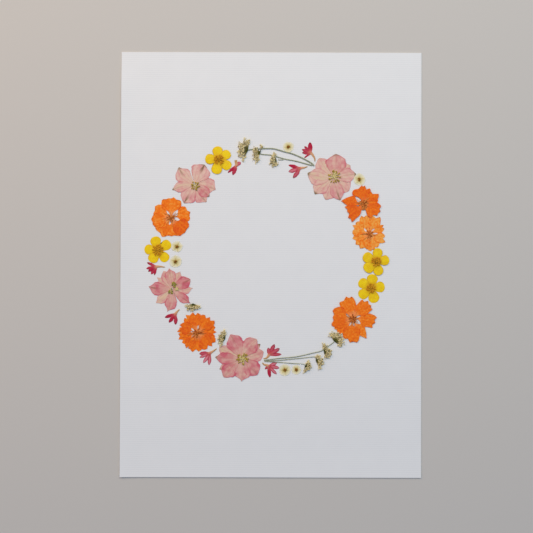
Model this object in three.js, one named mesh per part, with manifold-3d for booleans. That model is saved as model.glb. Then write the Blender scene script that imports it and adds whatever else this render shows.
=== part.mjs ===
// A sheet of white card with a ring of pressed flowers fixed to its face.
// Millimetres, +Z up, lying flat. The origin is the middle of the card's underside and
// +Y points to the card's top edge. Angles are degrees, counter-clockwise from +X.
import * as THREE from 'three';
import { mergeVertices } from 'three/addons/utils/BufferGeometryUtils.js';
import Module from 'manifold-3d';

const wasm = await Module();
wasm.setup();

// The card is an A4 sheet
const cardWidth = 210;
const cardHeight = 297;
const cardThickness = 0.5;

// Pressed petals overlap in layers: a petal's top lies at one of these heights over the card
const petalLayers = [0.25, 0.35, 0.45];
const topLayer = Math.max(...petalLayers);

// Gap between two pieces that would otherwise run into each other
const clearance = 0.3;

// Corners of a mesh closer than this are one corner
const cornerTolerance = 1e-4;

// Leaf-shaped outlines: stations along each edge, where it is widest, how full its end is
const larkspurPetal = { stations: 5, widest: 0.6, fullness: 0.72 };
const buttercupPetal = { stations: 5, widest: 0.68, fullness: 0.5 };
const redLobe = { stations: 3, widest: 0.62, fullness: 0.7 };

// A cosmos petal widens from its base to its shoulders, then ends in teeth:
// places along the petal and half widths, as shares of its reach and width
const cosmosPetal = {
  waist: { at: 0.36, half: 0.22 },
  shoulder: { at: 0.68, half: 0.5 },
  notch: 1.1,
};

// Discs that join the petals of one flower under its centre
const larkspurDisc = 2.4;
const cosmosDisc = 1.7;
const buttercupDisc = 3.9;
const discSides = 7;

// Larkspurs. A petal is its axis angle, its width, and the angle and reach of its tip.
const larkspurs = {
  upper_left: {
    at: [-53.5, 56.2],
    stamens: { at: [0.4, -1.4], reach: 3.8, points: 8 },
    petals: [
      [64, 13.6, 63, 15],
      [154, 10.4, 134, 16],
      [190, 6.8, 195, 16.2],
      [244, 10.4, 241, 15.4],
      [294, 10, 303, 15],
      [321, 7.4, 319, 14],
      [356, 11.4, 344, 15.2],
    ],
  },
  upper_right: {
    at: [43.3, 61.1],
    stamens: { at: [0.8, 0.2], reach: 4.6, points: 9 },
    petals: [
      [9, 9.6, 8, 16.2],
      [35, 9, 35, 14.6],
      [74, 13.6, 84, 16.5],
      [136, 10, 126, 16.7],
      [185, 11.6, 171, 18],
      [212, 10, 223, 17.5],
      [259, 10, 251, 16.9],
      [284, 9, 287, 17],
      [320, 11.4, 319, 14.9],
    ],
  },
  bottom: {
    at: [-20.3, -65.8],
    stamens: { at: [0.8, 0], reach: 4.4, points: 9 },
    petals: [
      [13, 9.6, 18, 16.2],
      [37, 6, 37, 17],
      [60, 11.6, 51, 17.8],
      [112, 11.6, 115, 18.9],
      [159, 8.8, 153, 17.6],
      [181, 8, 177, 18.5],
      [206, 6, 206, 17.6],
      [220, 10.8, 227, 18.3],
      [277, 11, 270, 15.9],
      [320, 11.8, 313, 16],
    ],
  },
  left: {
    at: [-69.2, -17.2],
    stamens: { at: [1.4, 1.2], reach: 3.4, points: 7 },
    petals: [
      [-11, 6.6, 2, 14.4],
      [26, 9, 27, 14.8],
      [65, 7, 64, 13.4],
      [95, 8.6, 98, 14.4],
      [116, 7.6, 115, 13.8],
      [143, 4.6, 143, 13.2],
      [184, 9.8, 175, 16.2],
      [230, 7, 222, 15],
      [273, 8.8, 259, 16.3],
      [319, 7, 322, 16],
    ],
  },
};

// Orange cosmos. A petal is its axis angle, its width, then the angle and reach of each tooth.
const cosmos = {
  left: {
    at: [-69.9, 32.4],
    florets: { reach: 4.2, points: 9 },
    petals: [
      [89, 14, [113, 14.1], [97, 13.8], [83, 14.5], [65, 13.6]],
      [152, 11, [166, 12.8], [145, 13.9]],
      [192, 11, [201, 13.7], [185, 14]],
      [232, 12, [245, 14.8], [222, 13.5]],
      [270, 12, [290, 13.6], [272, 13], [252, 13.6]],
      [318, 12, [333, 14], [313, 14.3], [297, 14.3]],
      [375, 13, [396, 12], [378, 14], [357, 13.3]],
    ],
  },
  lower_left: {
    at: [-51.4, -47.9],
    florets: { reach: 4.8, points: 9 },
    petals: [
      [9, 11, [16, 13.3], [2, 13.6], [-10, 12.8]],
      [51, 12, [66, 13.5], [51, 14.1], [35, 14.8]],
      [96, 10, [102, 14.6], [89, 13.9]],
      [124, 8, [130, 13.6], [123, 14.8]],
      [157, 9, [164, 12.9], [156, 13.4]],
      [178, 8, [183, 13.2], [177, 14]],
      [206, 8, [213, 12.6], [200, 13.8]],
      [236, 8, [241, 12.7], [235, 13.2]],
      [266, 10, [275, 13.2], [257, 13.9]],
      [318, 13, [333, 14.4], [318, 14.2], [303, 13.2]],
    ],
  },
  upper_right: {
    at: [64.6, 42.9],
    florets: { reach: 3.6, points: 7 },
    petals: [
      [12, 9, [20, 11.3], [4, 11.6]],
      [44, 9, [52, 10.3], [28, 11.8]],
      [99, 12, [118, 11.4], [97, 12.3], [86, 12.4], [74, 10.9]],
      [175, 7.4, [176, 16]],
      [220, 10, [236, 15.9], [223, 15], [200, 13]],
      [327, 11, [350, 12.4], [334, 13.2], [324, 14.2], [310, 11.5]],
    ],
  },
  right: {
    at: [68.5, 21.2],
    florets: { reach: 3.6, points: 8 },
    petals: [
      [26, 7, [32, 12], [22, 11.4]],
      [66, 9, [76, 12.8], [58, 13.3]],
      [107, 8, [113, 13.1], [100, 13.3]],
      [154, 11, [168, 11.8], [151, 13.2], [139, 12.4]],
      [194, 7, [194, 12]],
      [217, 7, [217, 11.8]],
      [239, 7, [238, 11.8]],
      [260, 6, [262, 10.8]],
      [289, 10, [304, 11.3], [290, 11.8], [276, 11.9]],
      [342, 9, [350, 11.2], [336, 12.4]],
    ],
  },
  lower_right: {
    at: [57.3, -37.8],
    florets: { reach: 4.9, points: 8 },
    petals: [
      [-5, 11, [3, 16.8], [-10, 15.9], [-24, 15]],
      [47, 11, [63, 15], [50, 16.4], [36, 15.8], [27, 15.3]],
      [108, 11, [128, 14.8], [106, 16.2], [92, 15.5]],
      [175, 12, [193, 15.4], [176, 14.2], [158, 15.3]],
      [210, 9, [222, 14.4], [208, 14.6], [198, 15.7]],
      [264, 11, [280, 16.8], [263, 16.7], [249, 15]],
      [304, 8, [305, 16.8]],
    ],
  },
};

// Buttercups. A petal is its axis angle, width and length.
const buttercups = {
  top_left: {
    at: [-36.5, 73],
    petals: [[100, 7.2, 9.5], [175, 7.2, 9.7], [256, 7.6, 10.1], [325, 7, 9.8], [36, 6.8, 9.3]],
  },
  right_upper: {
    at: [73.4, 2],
    petals: [[80, 6.9, 9.6], [153, 7.4, 10], [218, 7.8, 10], [285, 7, 9.7], [10, 7, 9.3]],
  },
  right_lower: {
    at: [69.9, -16.5],
    petals: [[82, 7.7, 9.9], [148, 7.4, 9.8], [217, 7.4, 10.1], [287, 7.8, 10.5], [8, 7.6, 9.7]],
  },
  left: {
    at: [-79, 9.7],
    petals: [[105, 7.4, 9.8], [176, 7, 9.5], [240, 7.5, 9.7], [312, 7, 10.1], [32, 7.4, 10.2]],
  },
};
const buttercupCentre = { reach: 3.6, inner: 2.7, points: 9 };

// The centre of a flower is a flat star around a low dome. Its dents and shorter points are shares
// of its reach, the dome is a share of the dents, and the heights are over the petals.
const centreStar = { dent: 0.42, shortPoint: 0.82, height: 0.3 };
const centreDome = { radius: 0.9, height: 0.65 };
const domeShoulder = { radius: 0.8, height: 0.7 };  // shares of a dome's radius and height

// Cream flowers: place, reach of the petals, number of petals, angle of the first one
const creamFlowers = {
  top: { at: [11.9, 82.2], reach: 3.6, petals: 6, turn: 60 },
  upper_right: { at: [61.6, 59.6], reach: 4, petals: 5, turn: 50 },
  left_upper: { at: [-65.7, 12.1], reach: 3.7, petals: 5, turn: 40 },
  left_lower: { at: [-66.7, 1.7], reach: 4, petals: 5, turn: 55 },
  bottom_left: { at: [10, -73.7], reach: 3.9, petals: 6, turn: 20 },
  bottom_right: { at: [17.9, -73.4], reach: 3.2, petals: 5, turn: 30 },
};
// Edge of one cream petal: how far round the petal, and how far out, as shares of its turn and reach
const creamEdge = [[-0.5, 0.55], [-0.3, 0.97], [0.3, 0.97]];
const creamHeights = { petal: 0.3, eye: 0.9 };
const creamEye = 1.3;  // radius

// Red florets, in card coordinates: the throat, the end points of its lobes with their widths,
// and the stalk's route away from the throat
const redFlorets = {
  top_left: {
    throat: [-25.8, 67.4],
    lobes: [[-30.3, 64, 1.8], [-27.1, 62.4, 2.6], [-21.5, 71.8, 3]],
    stalk: [[-25.4, 69.4], [-25.3, 71.5], [-24.9, 73.4]],
  },
  top_right: {
    throat: [26.4, 79],
    lobes: [[27, 85.5, 3.2], [23.2, 82.7, 2.1], [21.5, 80.5, 2.2], [21.6, 78.2, 2.4], [23, 74.5, 1.2]],
    stalk: [[28.4, 77.4], [30.2, 74.6], [30.6, 72.2]],
  },
  top_middle: {
    throat: [19, 67],
    lobes: [[12.1, 69.5, 2.4], [12.1, 64.8, 2.9], [15.4, 60.4, 2.9]],
    stalk: [[21.4, 67.5], [23.4, 67.8], [25.3, 68.5]],
  },
  bottom_upper: {
    throat: [-0.6, -62],
    lobes: [[-1.6, -58.2, 2.5], [2.7, -55.8, 2.9], [6.2, -58.7, 2.9], [7.5, -62.8, 2.3]],
    stalk: [[-1.7, -64], [-3, -65.4], [-5, -65.9]],
  },
  bottom_lower: {
    throat: [-0.8, -71.6],
    lobes: [[4.4, -68.7, 2.3], [6, -72.3, 2.6], [4.2, -76.6, 2.2], [-0.4, -78.9, 2.6], [-3.9, -73.2, 1.6]],
    stalk: [[-2.4, -70.6], [-4.6, -69.9], [-5.8, -68.7]],
  },
  lower_left: {
    throat: [-43.6, -62.9],
    lobes: [[-49.8, -62.6, 3], [-49.6, -65.2, 2], [-47, -68.9, 2.4], [-43, -70.5, 2.4]],
    stalk: [[-41.4, -61.5], [-39.6, -60.4], [-37.7, -58.9]],
  },
  left_lower: {
    throat: [-67, -35.6],
    lobes: [[-74, -37.3, 2.4], [-71.1, -40.8, 2.6], [-66.5, -42.3, 2.6]],
    stalk: [[-66, -34], [-65, -32.8], [-63.8, -31.7]],
  },
  left: {
    throat: [-81.4, -2.2],
    lobes: [[-86.6, 1.1, 2], [-87.1, -3.2, 2.2], [-85.8, -5.2, 2.2], [-83.7, -7.2, 2.4], [-81.4, -7.8, 1.6]],
    stalk: [[-79.2, -1.8], [-77, -1.8], [-74.2, -2.2]],
  },
};
const redHeight = 0.4;
// The lobes start inside the tube, this share of the way to the stalk's first point
const redStalk = { throatHalf: 1.3, endHalf: 0.28, stations: 3, lobesFrom: 0.6 };

// Lace flower stems, in card coordinates, from the cut end to the umbel they carry
const laceStems = {
  top_stem_upper: [
    [30, 69], [27.9, 71], [22, 74.3], [15, 77.3], [9, 78.9], [2, 80.8], [-5.2, 81], [-15, 80.2],
  ],
  top_stem_lower: [[27, 69.6], [18, 72.1], [10, 73.6], [4.6, 75.1], [0, 76.4], [-6.4, 76.9]],
  top_branch: [[8.6, 73.2], [6.5, 73.1], [4.9, 73.2]],
  bottom_stem_upper: [
    [-4.6, -66.9], [6, -65.5], [18, -64.3], [29, -61.8], [36, -60], [41, -56.4], [43.3, -54.7],
  ],
  bottom_stem_middle: [[5.5, -67], [12, -66.3], [22, -65.3], [30.4, -64.3]],
  bottom_stem_lower: [[-0.6, -67.9], [8, -68.5], [16, -69.1], [22.6, -69.5]],
};
const stemSection = { width: 0.9, height: 0.6 };
const stemStepLength = 6;

// Lace umbels, in card coordinates: where the rays meet, then the angle and reach of each ray,
// and of those that lie over a stem
const laceUmbels = {
  top_umbel_left: {
    at: [-16.4, 79.6],
    rays: [[108, 8.8], [134, 8.2], [160, 7.6], [186, 7.4], [212, 7.2], [240, 7]],
  },
  top_umbel_middle: {
    at: [-7.6, 78.6],
    rays: [[178, 5.2], [204, 5.6], [228, 7], [248, 8.8]],
    over: [[80, 5.6], [148, 5.2]],
  },
  top_umbel_right: {
    at: [3.4, 73.2],
    rays: [[150, 4.2], [184, 4.8], [214, 5.4], [244, 6.2], [276, 4.4]],
    over: [[112, 5.4]],
  },
  bottom_umbel_right: {
    at: [44.4, -53.4],
    rays: [[-34, 6.6], [-10, 7.6], [16, 7.2], [44, 7.2], [70, 7], [96, 7.2], [124, 6.4]],
  },
  bottom_umbel_upper: {
    at: [37.4, -61.3],
    rays: [[-66, 5.4], [-40, 5.6], [-12, 5.2], [16, 5.6]],
    over: [[72, 5.8], [96, 6.8]],
  },
  bottom_umbel_lower: {
    at: [31.6, -66.6],
    rays: [[-64, 7.2], [-44, 6.6], [-20, 6], [6, 5.2], [34, 4.6], [72, 4.2]],
  },
  bottom_umbel_left: {
    at: [24, -70.9],
    rays: [[-94, 5], [-48, 4.6], [-14, 4.6], [20, 4.8], [56, 5]],
  },
  loose_umbel_left: {
    at: [-54.3, -27.6],
    rays: [[202, 6.5], [228, 6.2], [256, 5.4], [284, 5.2], [310, 5.8], [336, 6.2]],
  },
  loose_umbel_lower: {
    at: [-31.8, -51.6],
    rays: [[92, 6], [124, 5.2], [156, 4.8], [184, 5.4], [212, 5.8], [236, 6.8]],
  },
};
const umbel = { ray: 0.24, floret: 0.85, knob: 1.15, height: 0.5 };
const floretTurns = [-80, 0, 80];  // corners of the floret that ends a ray
const knobCorners = 3;  // between the last ray and the first
const stemGap = 0.35;  // from a stem up to a ray that crosses it
const overStem = stemSection.height + stemGap;

// A piece that runs under a neighbour stops short of it
const liesUnder = {
  cosmos_right_petals: ['cosmos_upper_right_petals', 'buttercup_right_upper_petals'],
  buttercup_right_lower_petals: ['cosmos_lower_right_petals'],
  red_floret_top_left: ['buttercup_top_left_petals'],
  red_floret_lower_left: ['cosmos_lower_left_petals', 'larkspur_bottom_petals'],
  red_floret_left_lower: ['larkspur_left_petals'],
  red_floret_left: ['larkspur_left_petals', 'buttercup_left_petals'],
  red_floret_bottom_upper: ['larkspur_bottom_petals'],
  red_floret_bottom_lower: ['larkspur_bottom_petals', 'lace_bottom_stem_lower'],
  lace_bottom_umbel_right: ['cosmos_lower_right_petals', 'lace_bottom_stem_upper'],
  lace_bottom_umbel_upper: ['lace_bottom_stem_upper'],
  lace_bottom_umbel_lower: ['lace_bottom_umbel_upper', 'lace_bottom_stem_middle'],
  lace_bottom_umbel_left: ['lace_bottom_stem_lower', 'lace_bottom_umbel_lower'],
  lace_bottom_stem_middle: ['lace_bottom_stem_upper'],
  lace_bottom_stem_lower: ['lace_bottom_stem_upper', 'lace_bottom_stem_middle'],
  lace_loose_umbel_left: ['larkspur_left_petals', 'cosmos_lower_left_petals'],
  lace_loose_umbel_lower: ['larkspur_bottom_petals', 'cosmos_lower_left_petals'],
  lace_top_stem_lower: ['lace_top_stem_upper'],
  lace_top_branch: ['lace_top_stem_lower'],
  lace_top_umbel_left: ['lace_top_stem_upper'],
  lace_top_umbel_middle: ['lace_top_stem_upper', 'lace_top_stem_lower', 'lace_top_umbel_left'],
  lace_top_umbel_right: ['lace_top_stem_lower', 'lace_top_branch'],
  cream_flower_top: ['lace_top_stem_upper'],
  cream_flower_upper_right: ['larkspur_upper_right_petals', 'cosmos_upper_right_petals'],
};

function material(color, roughness) {
  return new THREE.MeshStandardMaterial({ color, roughness, metalness: 0 });
}

const finishes = {
  card: () => material('#e6e4e2', 0.9),
  larkspurPetal: () => material('#d59aa2', 0.8),
  larkspurStamen: () => material('#a39436', 0.85),
  cosmosPetal: () => material('#e5701c', 0.75),
  cosmosFloret: () => material('#8a4016', 0.85),
  buttercupPetal: () => material('#e4bd14', 0.5),
  buttercupCentre: () => material('#b07a18', 0.8),
  creamPetal: () => material('#e6deb4', 0.85),
  redPetal: () => material('#b8243f', 0.75),
  laceStem: () => material('#7d8262', 0.85),
  laceUmbel: () => material('#bfb27e', 0.9),
};

function polar(angle, reach) {
  const turn = THREE.MathUtils.degToRad(angle);
  return new THREE.Vector2(Math.cos(turn) * reach, Math.sin(turn) * reach);
}

function point([x, y]) {
  return new THREE.Vector2(x, y);
}

// A closed mesh as a solid that can be joined and cut
function solidFrom(geometry) {
  geometry.deleteAttribute('normal');
  geometry.deleteAttribute('uv');
  const merged = mergeVertices(geometry, cornerTolerance);
  const corners = Array.from(merged.index.array);
  const triangles = [];
  for (let i = 0; i < corners.length; i += 3) {
    const [a, b, c] = corners.slice(i, i + 3);
    if (a !== b && b !== c && c !== a) {
      triangles.push(a, b, c);
    }
  }
  return new wasm.Manifold(new wasm.Mesh({
    numProp: 3,
    vertProperties: new Float32Array(merged.attributes.position.array),
    triVerts: new Uint32Array(triangles),
  }));
}

function geometryFrom(solid) {
  const mesh = solid.getMesh();
  const geometry = new THREE.BufferGeometry();
  geometry.setAttribute('position', new THREE.BufferAttribute(mesh.vertProperties, 3));
  geometry.setIndex(new THREE.BufferAttribute(mesh.triVerts, 1));
  geometry.computeVertexNormals();
  return geometry;
}

function join(solids) {
  return solids.reduce((whole, next) => whole.add(next));
}

// A flat piece standing on the card; grow thickens it all round, to cut its neighbour clear of it
function slab(outline, height, grow = 0, bottom = 0) {
  const geometry = new THREE.ExtrudeGeometry(new THREE.Shape(outline), {
    depth: height + 2 * grow,
    bevelEnabled: false,
  });
  geometry.translate(0, 0, bottom - grow);
  return solidFrom(geometry);
}

function disc(centre, radius, height, grow = 0) {
  const outline = [];
  for (let i = 0; i < discSides; i++) {
    outline.push(polar(360 * i / discSides, radius + grow).add(centre));
  }
  return slab(outline, height, grow);
}

// A pointed or rounded leaf shape along a bent centre line from base to tip
function leafOutline(base, bend, tip, width, form, grow) {
  const line = new THREE.QuadraticBezierCurve(base, bend, tip);
  const swell = Math.log(0.5) / Math.log(form.widest);
  const left = [];
  const right = [];
  for (let i = 1; i < form.stations; i++) {
    const t = Math.sin(Math.PI / 2 * i / form.stations);
    const half = width / 2 * Math.sin(Math.PI * t ** swell) ** form.fullness + grow;
    const along = line.getTangent(t);
    const across = new THREE.Vector2(-along.y, along.x).multiplyScalar(half);
    left.push(line.getPoint(t).add(across));
    right.unshift(line.getPoint(t).sub(across));
  }
  const end = tip.clone().addScaledVector(line.getTangent(1), grow);
  return [base, ...left, end, ...right];
}

function petalOutline([axis, width, tipAngle, tipReach], form, grow) {
  const bend = polar(axis, tipReach * form.widest);
  return leafOutline(new THREE.Vector2(), bend, polar(tipAngle, tipReach), width, form, grow);
}

function cosmosOutline([axis, width, ...teeth], grow) {
  const reach = Math.max(...teeth.map((tooth) => tooth[1]));
  const { waist, shoulder, notch } = cosmosPetal;
  const edge = (side) => [waist, shoulder].map(({ at, half }) => {
    return polar(axis, at * reach).add(polar(axis + side * 90, half * width + grow));
  });
  const end = [];
  teeth.forEach(([angle, length], i) => {
    if (i > 0) {
      const [lastAngle, lastLength] = teeth[i - 1];
      end.push(polar((angle + lastAngle) / 2, Math.min(length, lastLength) - notch + grow));
    }
    end.push(polar(angle, length + grow));
  });
  return [new THREE.Vector2(), ...edge(1), ...end, ...edge(-1).reverse()];
}

// A flower's petals, fused with the disc at its centre
function petalRing(outlines, discRadius, grow) {
  const petals = outlines.map((outline, i) => {
    return slab(outline, petalLayers[i % petalLayers.length], grow);
  });
  return join([disc(new THREE.Vector2(), discRadius, topLayer, grow), ...petals]);
}

function dome(radius, height) {
  const shoulder = [radius * domeShoulder.radius, height * domeShoulder.height];
  const profile = [[0, 0], [radius, 0], shoulder, [0, height]];
  const geometry = new THREE.LatheGeometry(profile.map(point), discSides);
  geometry.rotateX(Math.PI / 2);
  return solidFrom(geometry);
}

// A star of stamens or florets around a low dome, standing on the petals
function flowerCentre({ at = [0, 0], reach, points, inner = reach * centreStar.dent }) {
  const star = [];
  for (let i = 0; i < points; i++) {
    const turn = 360 / points;
    const length = i % 2 ? reach * centreStar.shortPoint : reach;
    star.push(polar(i * turn, length), polar((i + 0.5) * turn, inner));
  }
  const middle = dome(inner * centreDome.radius, centreDome.height);
  return join([slab(star, centreStar.height), middle]).translate([...at, topLayer]);
}

function creamFlower({ reach, petals, turn }, grow) {
  const rosette = [];
  for (let i = 0; i < petals; i++) {
    for (const [round, out] of creamEdge) {
      rosette.push(polar(turn + (i + round) * 360 / petals, out * reach + grow));
    }
  }
  return join([dome(creamEye, creamHeights.eye), slab(rosette, creamHeights.petal, grow)]);
}

// A flat tapering ribbon along a curve through the given points
function ribbonOutline(route, startHalf, endHalf, stations, grow) {
  const line = new THREE.SplineCurve(route);
  const left = [];
  const right = [];
  for (let i = 0; i <= stations; i++) {
    const t = i / stations;
    const along = line.getTangent(t);
    const half = startHalf + (endHalf - startHalf) * Math.sqrt(t) + grow;
    const across = new THREE.Vector2(-along.y, along.x).multiplyScalar(half);
    left.push(line.getPoint(t).add(across));
    right.unshift(line.getPoint(t).sub(across));
  }
  return [...left, ...right];
}

function redFloret({ throat, lobes, stalk }, grow) {
  const route = [throat, ...stalk].map(point);
  const start = route[0].clone().lerp(route[1], redStalk.lobesFrom);
  const petals = lobes.map(([x, y, width]) => {
    const tip = point([x, y]);
    const middle = start.clone().lerp(tip, 0.5);
    return slab(leafOutline(start, middle, tip, width, redLobe, grow), redHeight, grow);
  });
  const { throatHalf, endHalf, stations } = redStalk;
  const tube = ribbonOutline(route, throatHalf, endHalf, stations, grow);
  return join([slab(tube, redHeight, grow), ...petals]);
}

// A stem is a flattened six-sided tube whose lower side lies on the card
function stem(route, grow) {
  const path = new THREE.CatmullRomCurve3(route.map(([x, y]) => new THREE.Vector3(x, y, 0)));
  const half = stemSection.width / 2 + grow;
  const low = grow;
  const high = -stemSection.height - grow;
  const middle = (low + high) / 2;
  const section = new THREE.Shape([
    new THREE.Vector2(low, -half / 2),
    new THREE.Vector2(low, half / 2),
    new THREE.Vector2(middle, half),
    new THREE.Vector2(high, half / 2),
    new THREE.Vector2(high, -half / 2),
    new THREE.Vector2(middle, -half),
  ]);
  return solidFrom(new THREE.ExtrudeGeometry(section, {
    steps: Math.ceil(path.getLength() / stemStepLength),
    extrudePath: path,
  }));
}

// Three points round the small floret that ends a ray
function floretEdge(centre, [angle, reach], grow) {
  const floret = polar(angle, reach - umbel.floret).add(centre);
  return floretTurns.map((turn) => polar(angle + turn, umbel.floret + grow).add(floret));
}

// The fan of an umbel: out to each floret and back to the knob between them, then round the knob
function fanOutline(centre, rays, grow) {
  const outline = [];
  rays.forEach((ray, i) => {
    if (i > 0) {
      outline.push(polar((ray[0] + rays[i - 1][0]) / 2, umbel.knob + grow).add(centre));
    }
    outline.push(...floretEdge(centre, ray, grow));
  });
  const first = rays[0][0] + 360;
  const last = rays[rays.length - 1][0];
  for (let i = 1; i <= knobCorners; i++) {
    const share = i / (knobCorners + 1);
    outline.push(polar(last + (first - last) * share, umbel.knob + grow).add(centre));
  }
  return outline;
}

function laceUmbel({ at, rays, over = [] }, grow) {
  const centre = point(at);
  const fan = slab(fanOutline(centre, rays, grow), umbel.height, grow);
  if (over.length === 0) {
    return fan;
  }
  const knob = disc(centre, umbel.knob, overStem + umbel.height, grow);
  const raised = over.map((ray) => {
    const across = polar(ray[0] - 90, umbel.ray + grow);
    const base = [centre.clone().sub(across), centre.clone().add(across)];
    return slab([...base, ...floretEdge(centre, ray, grow)], umbel.height, grow, overStem);
  });
  return join([fan, knob, ...raised]);
}

// Every piece on the card: its material, its place and its solid
const pieces = {};

function addPiece(name, finish, at, build) {
  pieces[name] = { finish, at, build };
}

for (const [name, { at, petals, stamens }] of Object.entries(larkspurs)) {
  addPiece(`larkspur_${name}_petals`, finishes.larkspurPetal, at, (grow) => {
    return petalRing(petals.map((row) => petalOutline(row, larkspurPetal, grow)), larkspurDisc, grow);
  });
  addPiece(`larkspur_${name}_stamens`, finishes.larkspurStamen, at, () => flowerCentre(stamens));
}

for (const [name, { at, petals, florets }] of Object.entries(cosmos)) {
  addPiece(`cosmos_${name}_petals`, finishes.cosmosPetal, at, (grow) => {
    return petalRing(petals.map((row) => cosmosOutline(row, grow)), cosmosDisc, grow);
  });
  addPiece(`cosmos_${name}_centre`, finishes.cosmosFloret, at, () => flowerCentre(florets));
}

for (const [name, { at, petals }] of Object.entries(buttercups)) {
  addPiece(`buttercup_${name}_petals`, finishes.buttercupPetal, at, (grow) => {
    const outlines = petals.map(([axis, width, length]) => {
      return petalOutline([axis, width, axis, length], buttercupPetal, grow);
    });
    return petalRing(outlines, buttercupDisc, grow);
  });
  addPiece(`buttercup_${name}_centre`, finishes.buttercupCentre, at, () => flowerCentre(buttercupCentre));
}

for (const [name, flower] of Object.entries(creamFlowers)) {
  addPiece(`cream_flower_${name}`, finishes.creamPetal, flower.at, (grow) => creamFlower(flower, grow));
}

for (const [name, floret] of Object.entries(redFlorets)) {
  addPiece(`red_floret_${name}`, finishes.redPetal, [0, 0], (grow) => redFloret(floret, grow));
}

for (const [name, route] of Object.entries(laceStems)) {
  addPiece(`lace_${name}`, finishes.laceStem, [0, 0], (grow) => stem(route, grow));
}

for (const [name, spread] of Object.entries(laceUmbels)) {
  addPiece(`lace_${name}`, finishes.laceUmbel, [0, 0], (grow) => laceUmbel(spread, grow));
}

const sheet = new THREE.BoxGeometry(cardWidth, cardHeight, cardThickness);
const card = new THREE.Mesh(sheet, finishes.card());
card.name = 'card';
card.position.z = cardThickness / 2;

const flowers = new THREE.Group();
flowers.position.z = cardThickness;

for (const [name, { finish, at, build }] of Object.entries(pieces)) {
  let solid = build(0);
  for (const over of liesUnder[name] ?? []) {
    const [x, y] = pieces[over].at;
    solid = solid.subtract(pieces[over].build(clearance).translate([x - at[0], y - at[1], 0]));
  }
  const mesh = new THREE.Mesh(geometryFrom(solid), finish());
  mesh.name = name;
  mesh.position.set(at[0], at[1], 0);
  flowers.add(mesh);
}

const wreathCard = new THREE.Group();
wreathCard.add(card, flowers);

export default wreathCard;
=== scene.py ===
import math
import bpy
import numpy as np
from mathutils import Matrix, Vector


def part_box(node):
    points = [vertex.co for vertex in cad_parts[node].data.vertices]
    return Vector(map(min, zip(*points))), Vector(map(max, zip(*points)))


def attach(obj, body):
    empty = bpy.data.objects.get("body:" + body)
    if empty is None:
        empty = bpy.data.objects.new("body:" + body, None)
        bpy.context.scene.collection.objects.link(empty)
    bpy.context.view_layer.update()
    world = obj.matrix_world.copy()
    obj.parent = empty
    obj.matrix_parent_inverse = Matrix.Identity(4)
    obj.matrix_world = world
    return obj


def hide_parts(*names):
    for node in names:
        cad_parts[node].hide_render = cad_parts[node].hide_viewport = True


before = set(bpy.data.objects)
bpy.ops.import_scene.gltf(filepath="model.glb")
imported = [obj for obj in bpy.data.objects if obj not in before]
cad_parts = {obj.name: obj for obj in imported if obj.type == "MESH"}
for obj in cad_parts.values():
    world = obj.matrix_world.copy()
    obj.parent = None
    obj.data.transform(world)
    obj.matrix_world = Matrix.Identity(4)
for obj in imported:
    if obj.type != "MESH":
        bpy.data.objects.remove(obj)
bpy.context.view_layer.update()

mm = 0.001  # the tables below are in millimetres on the card, from its middle; angles are degrees
cardLow, cardHigh = (np.array(corner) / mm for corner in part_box("card"))
cardTop = cardHigh[2]


def linear(hexColour):  # sRGB hex to the linear values that Blender works in
    channels = [int(hexColour[i:i + 2], 16) / 255 for i in (1, 3, 5)]
    return [c / 12.92 if c <= 0.04045 else ((c + 0.055) / 1.055) ** 2.4 for c in channels] + [1.0]


def addNode(tree, kind, links=None, out=0, **settings):  # adds a node, returns one of its outputs
    node = tree.nodes.new(kind)
    for name, value in settings.items():
        setattr(node, name, value)
    for socket, source in (links or {}).items():
        if isinstance(source, bpy.types.NodeSocket):
            tree.links.new(source, node.inputs[socket])
        else:
            node.inputs[socket].default_value = source
    return node.outputs[out] if len(node.outputs) else None


def maths(tree, operation, *values, clamp=False):
    return addNode(tree, "ShaderNodeMath", dict(enumerate(values)), operation=operation, use_clamp=clamp)


def vectors(tree, operation, *values):
    return addNode(tree, "ShaderNodeVectorMath", dict(enumerate(values)), operation=operation)


def spread(tree, value, low, high, start=0.0, end=1.0, **settings):  # low to high becomes start to end
    return addNode(tree, "ShaderNodeMapRange", {0: value, 1: low, 2: high, 3: start, 4: end}, **settings)


def fade(tree, *values):  # the same, easing in and out
    return spread(tree, *values, interpolation_type="SMOOTHSTEP")


def blend(tree, share, first, second):
    return addNode(tree, "ShaderNodeMix", {0: share, 6: first, 7: second}, out=2, data_type="RGBA")


def colourRun(tree, value, first, last, *between):  # a stop is its place and its colour
    ramp = addNode(tree, "ShaderNodeValToRGB", {0: value})
    stops = ramp.node.color_ramp.elements
    for stop, (place, colour) in zip(stops, (first, last)):
        stop.position = place
        stop.color = linear(colour)
    for place, colour in between:
        stops.new(place).color = linear(colour)
    return ramp


def noise(tree, spot, size, detail):  # blotches of a size in millimetres
    return addNode(tree, "ShaderNodeTexNoise", {"Vector": spot, "Scale": 1 / (size * mm), "Detail": detail})


def relief(tree, shader, height, depth, strength):
    bump = addNode(tree, "ShaderNodeBump", {"Height": height, "Distance": depth * mm, "Strength": strength})
    tree.links.new(bump, shader["Normal"])


def vary(tree, low, high, index, seed):
    numbers = {"Min": low, "Max": high, "ID": index, "Seed": seed}
    return addNode(tree, "FunctionNodeRandomValue", numbers, out="Value")


def newMaterial(name, roughness, shine=0.5):
    material = bpy.data.materials.new(name)
    material.use_nodes = True
    shader = material.node_tree.nodes["Principled BSDF"].inputs
    shader["Roughness"].default_value = roughness
    shader["Specular IOR Level"].default_value = shine
    return material, material.node_tree, shader


def smooth(low, high, value):
    x = np.clip((value - low) / (high - low), 0, 1)
    return x * x * (3 - 2 * x)


def polar(angle, reach):
    return np.array([math.cos(math.radians(angle)), math.sin(math.radians(angle))]) * reach


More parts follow.
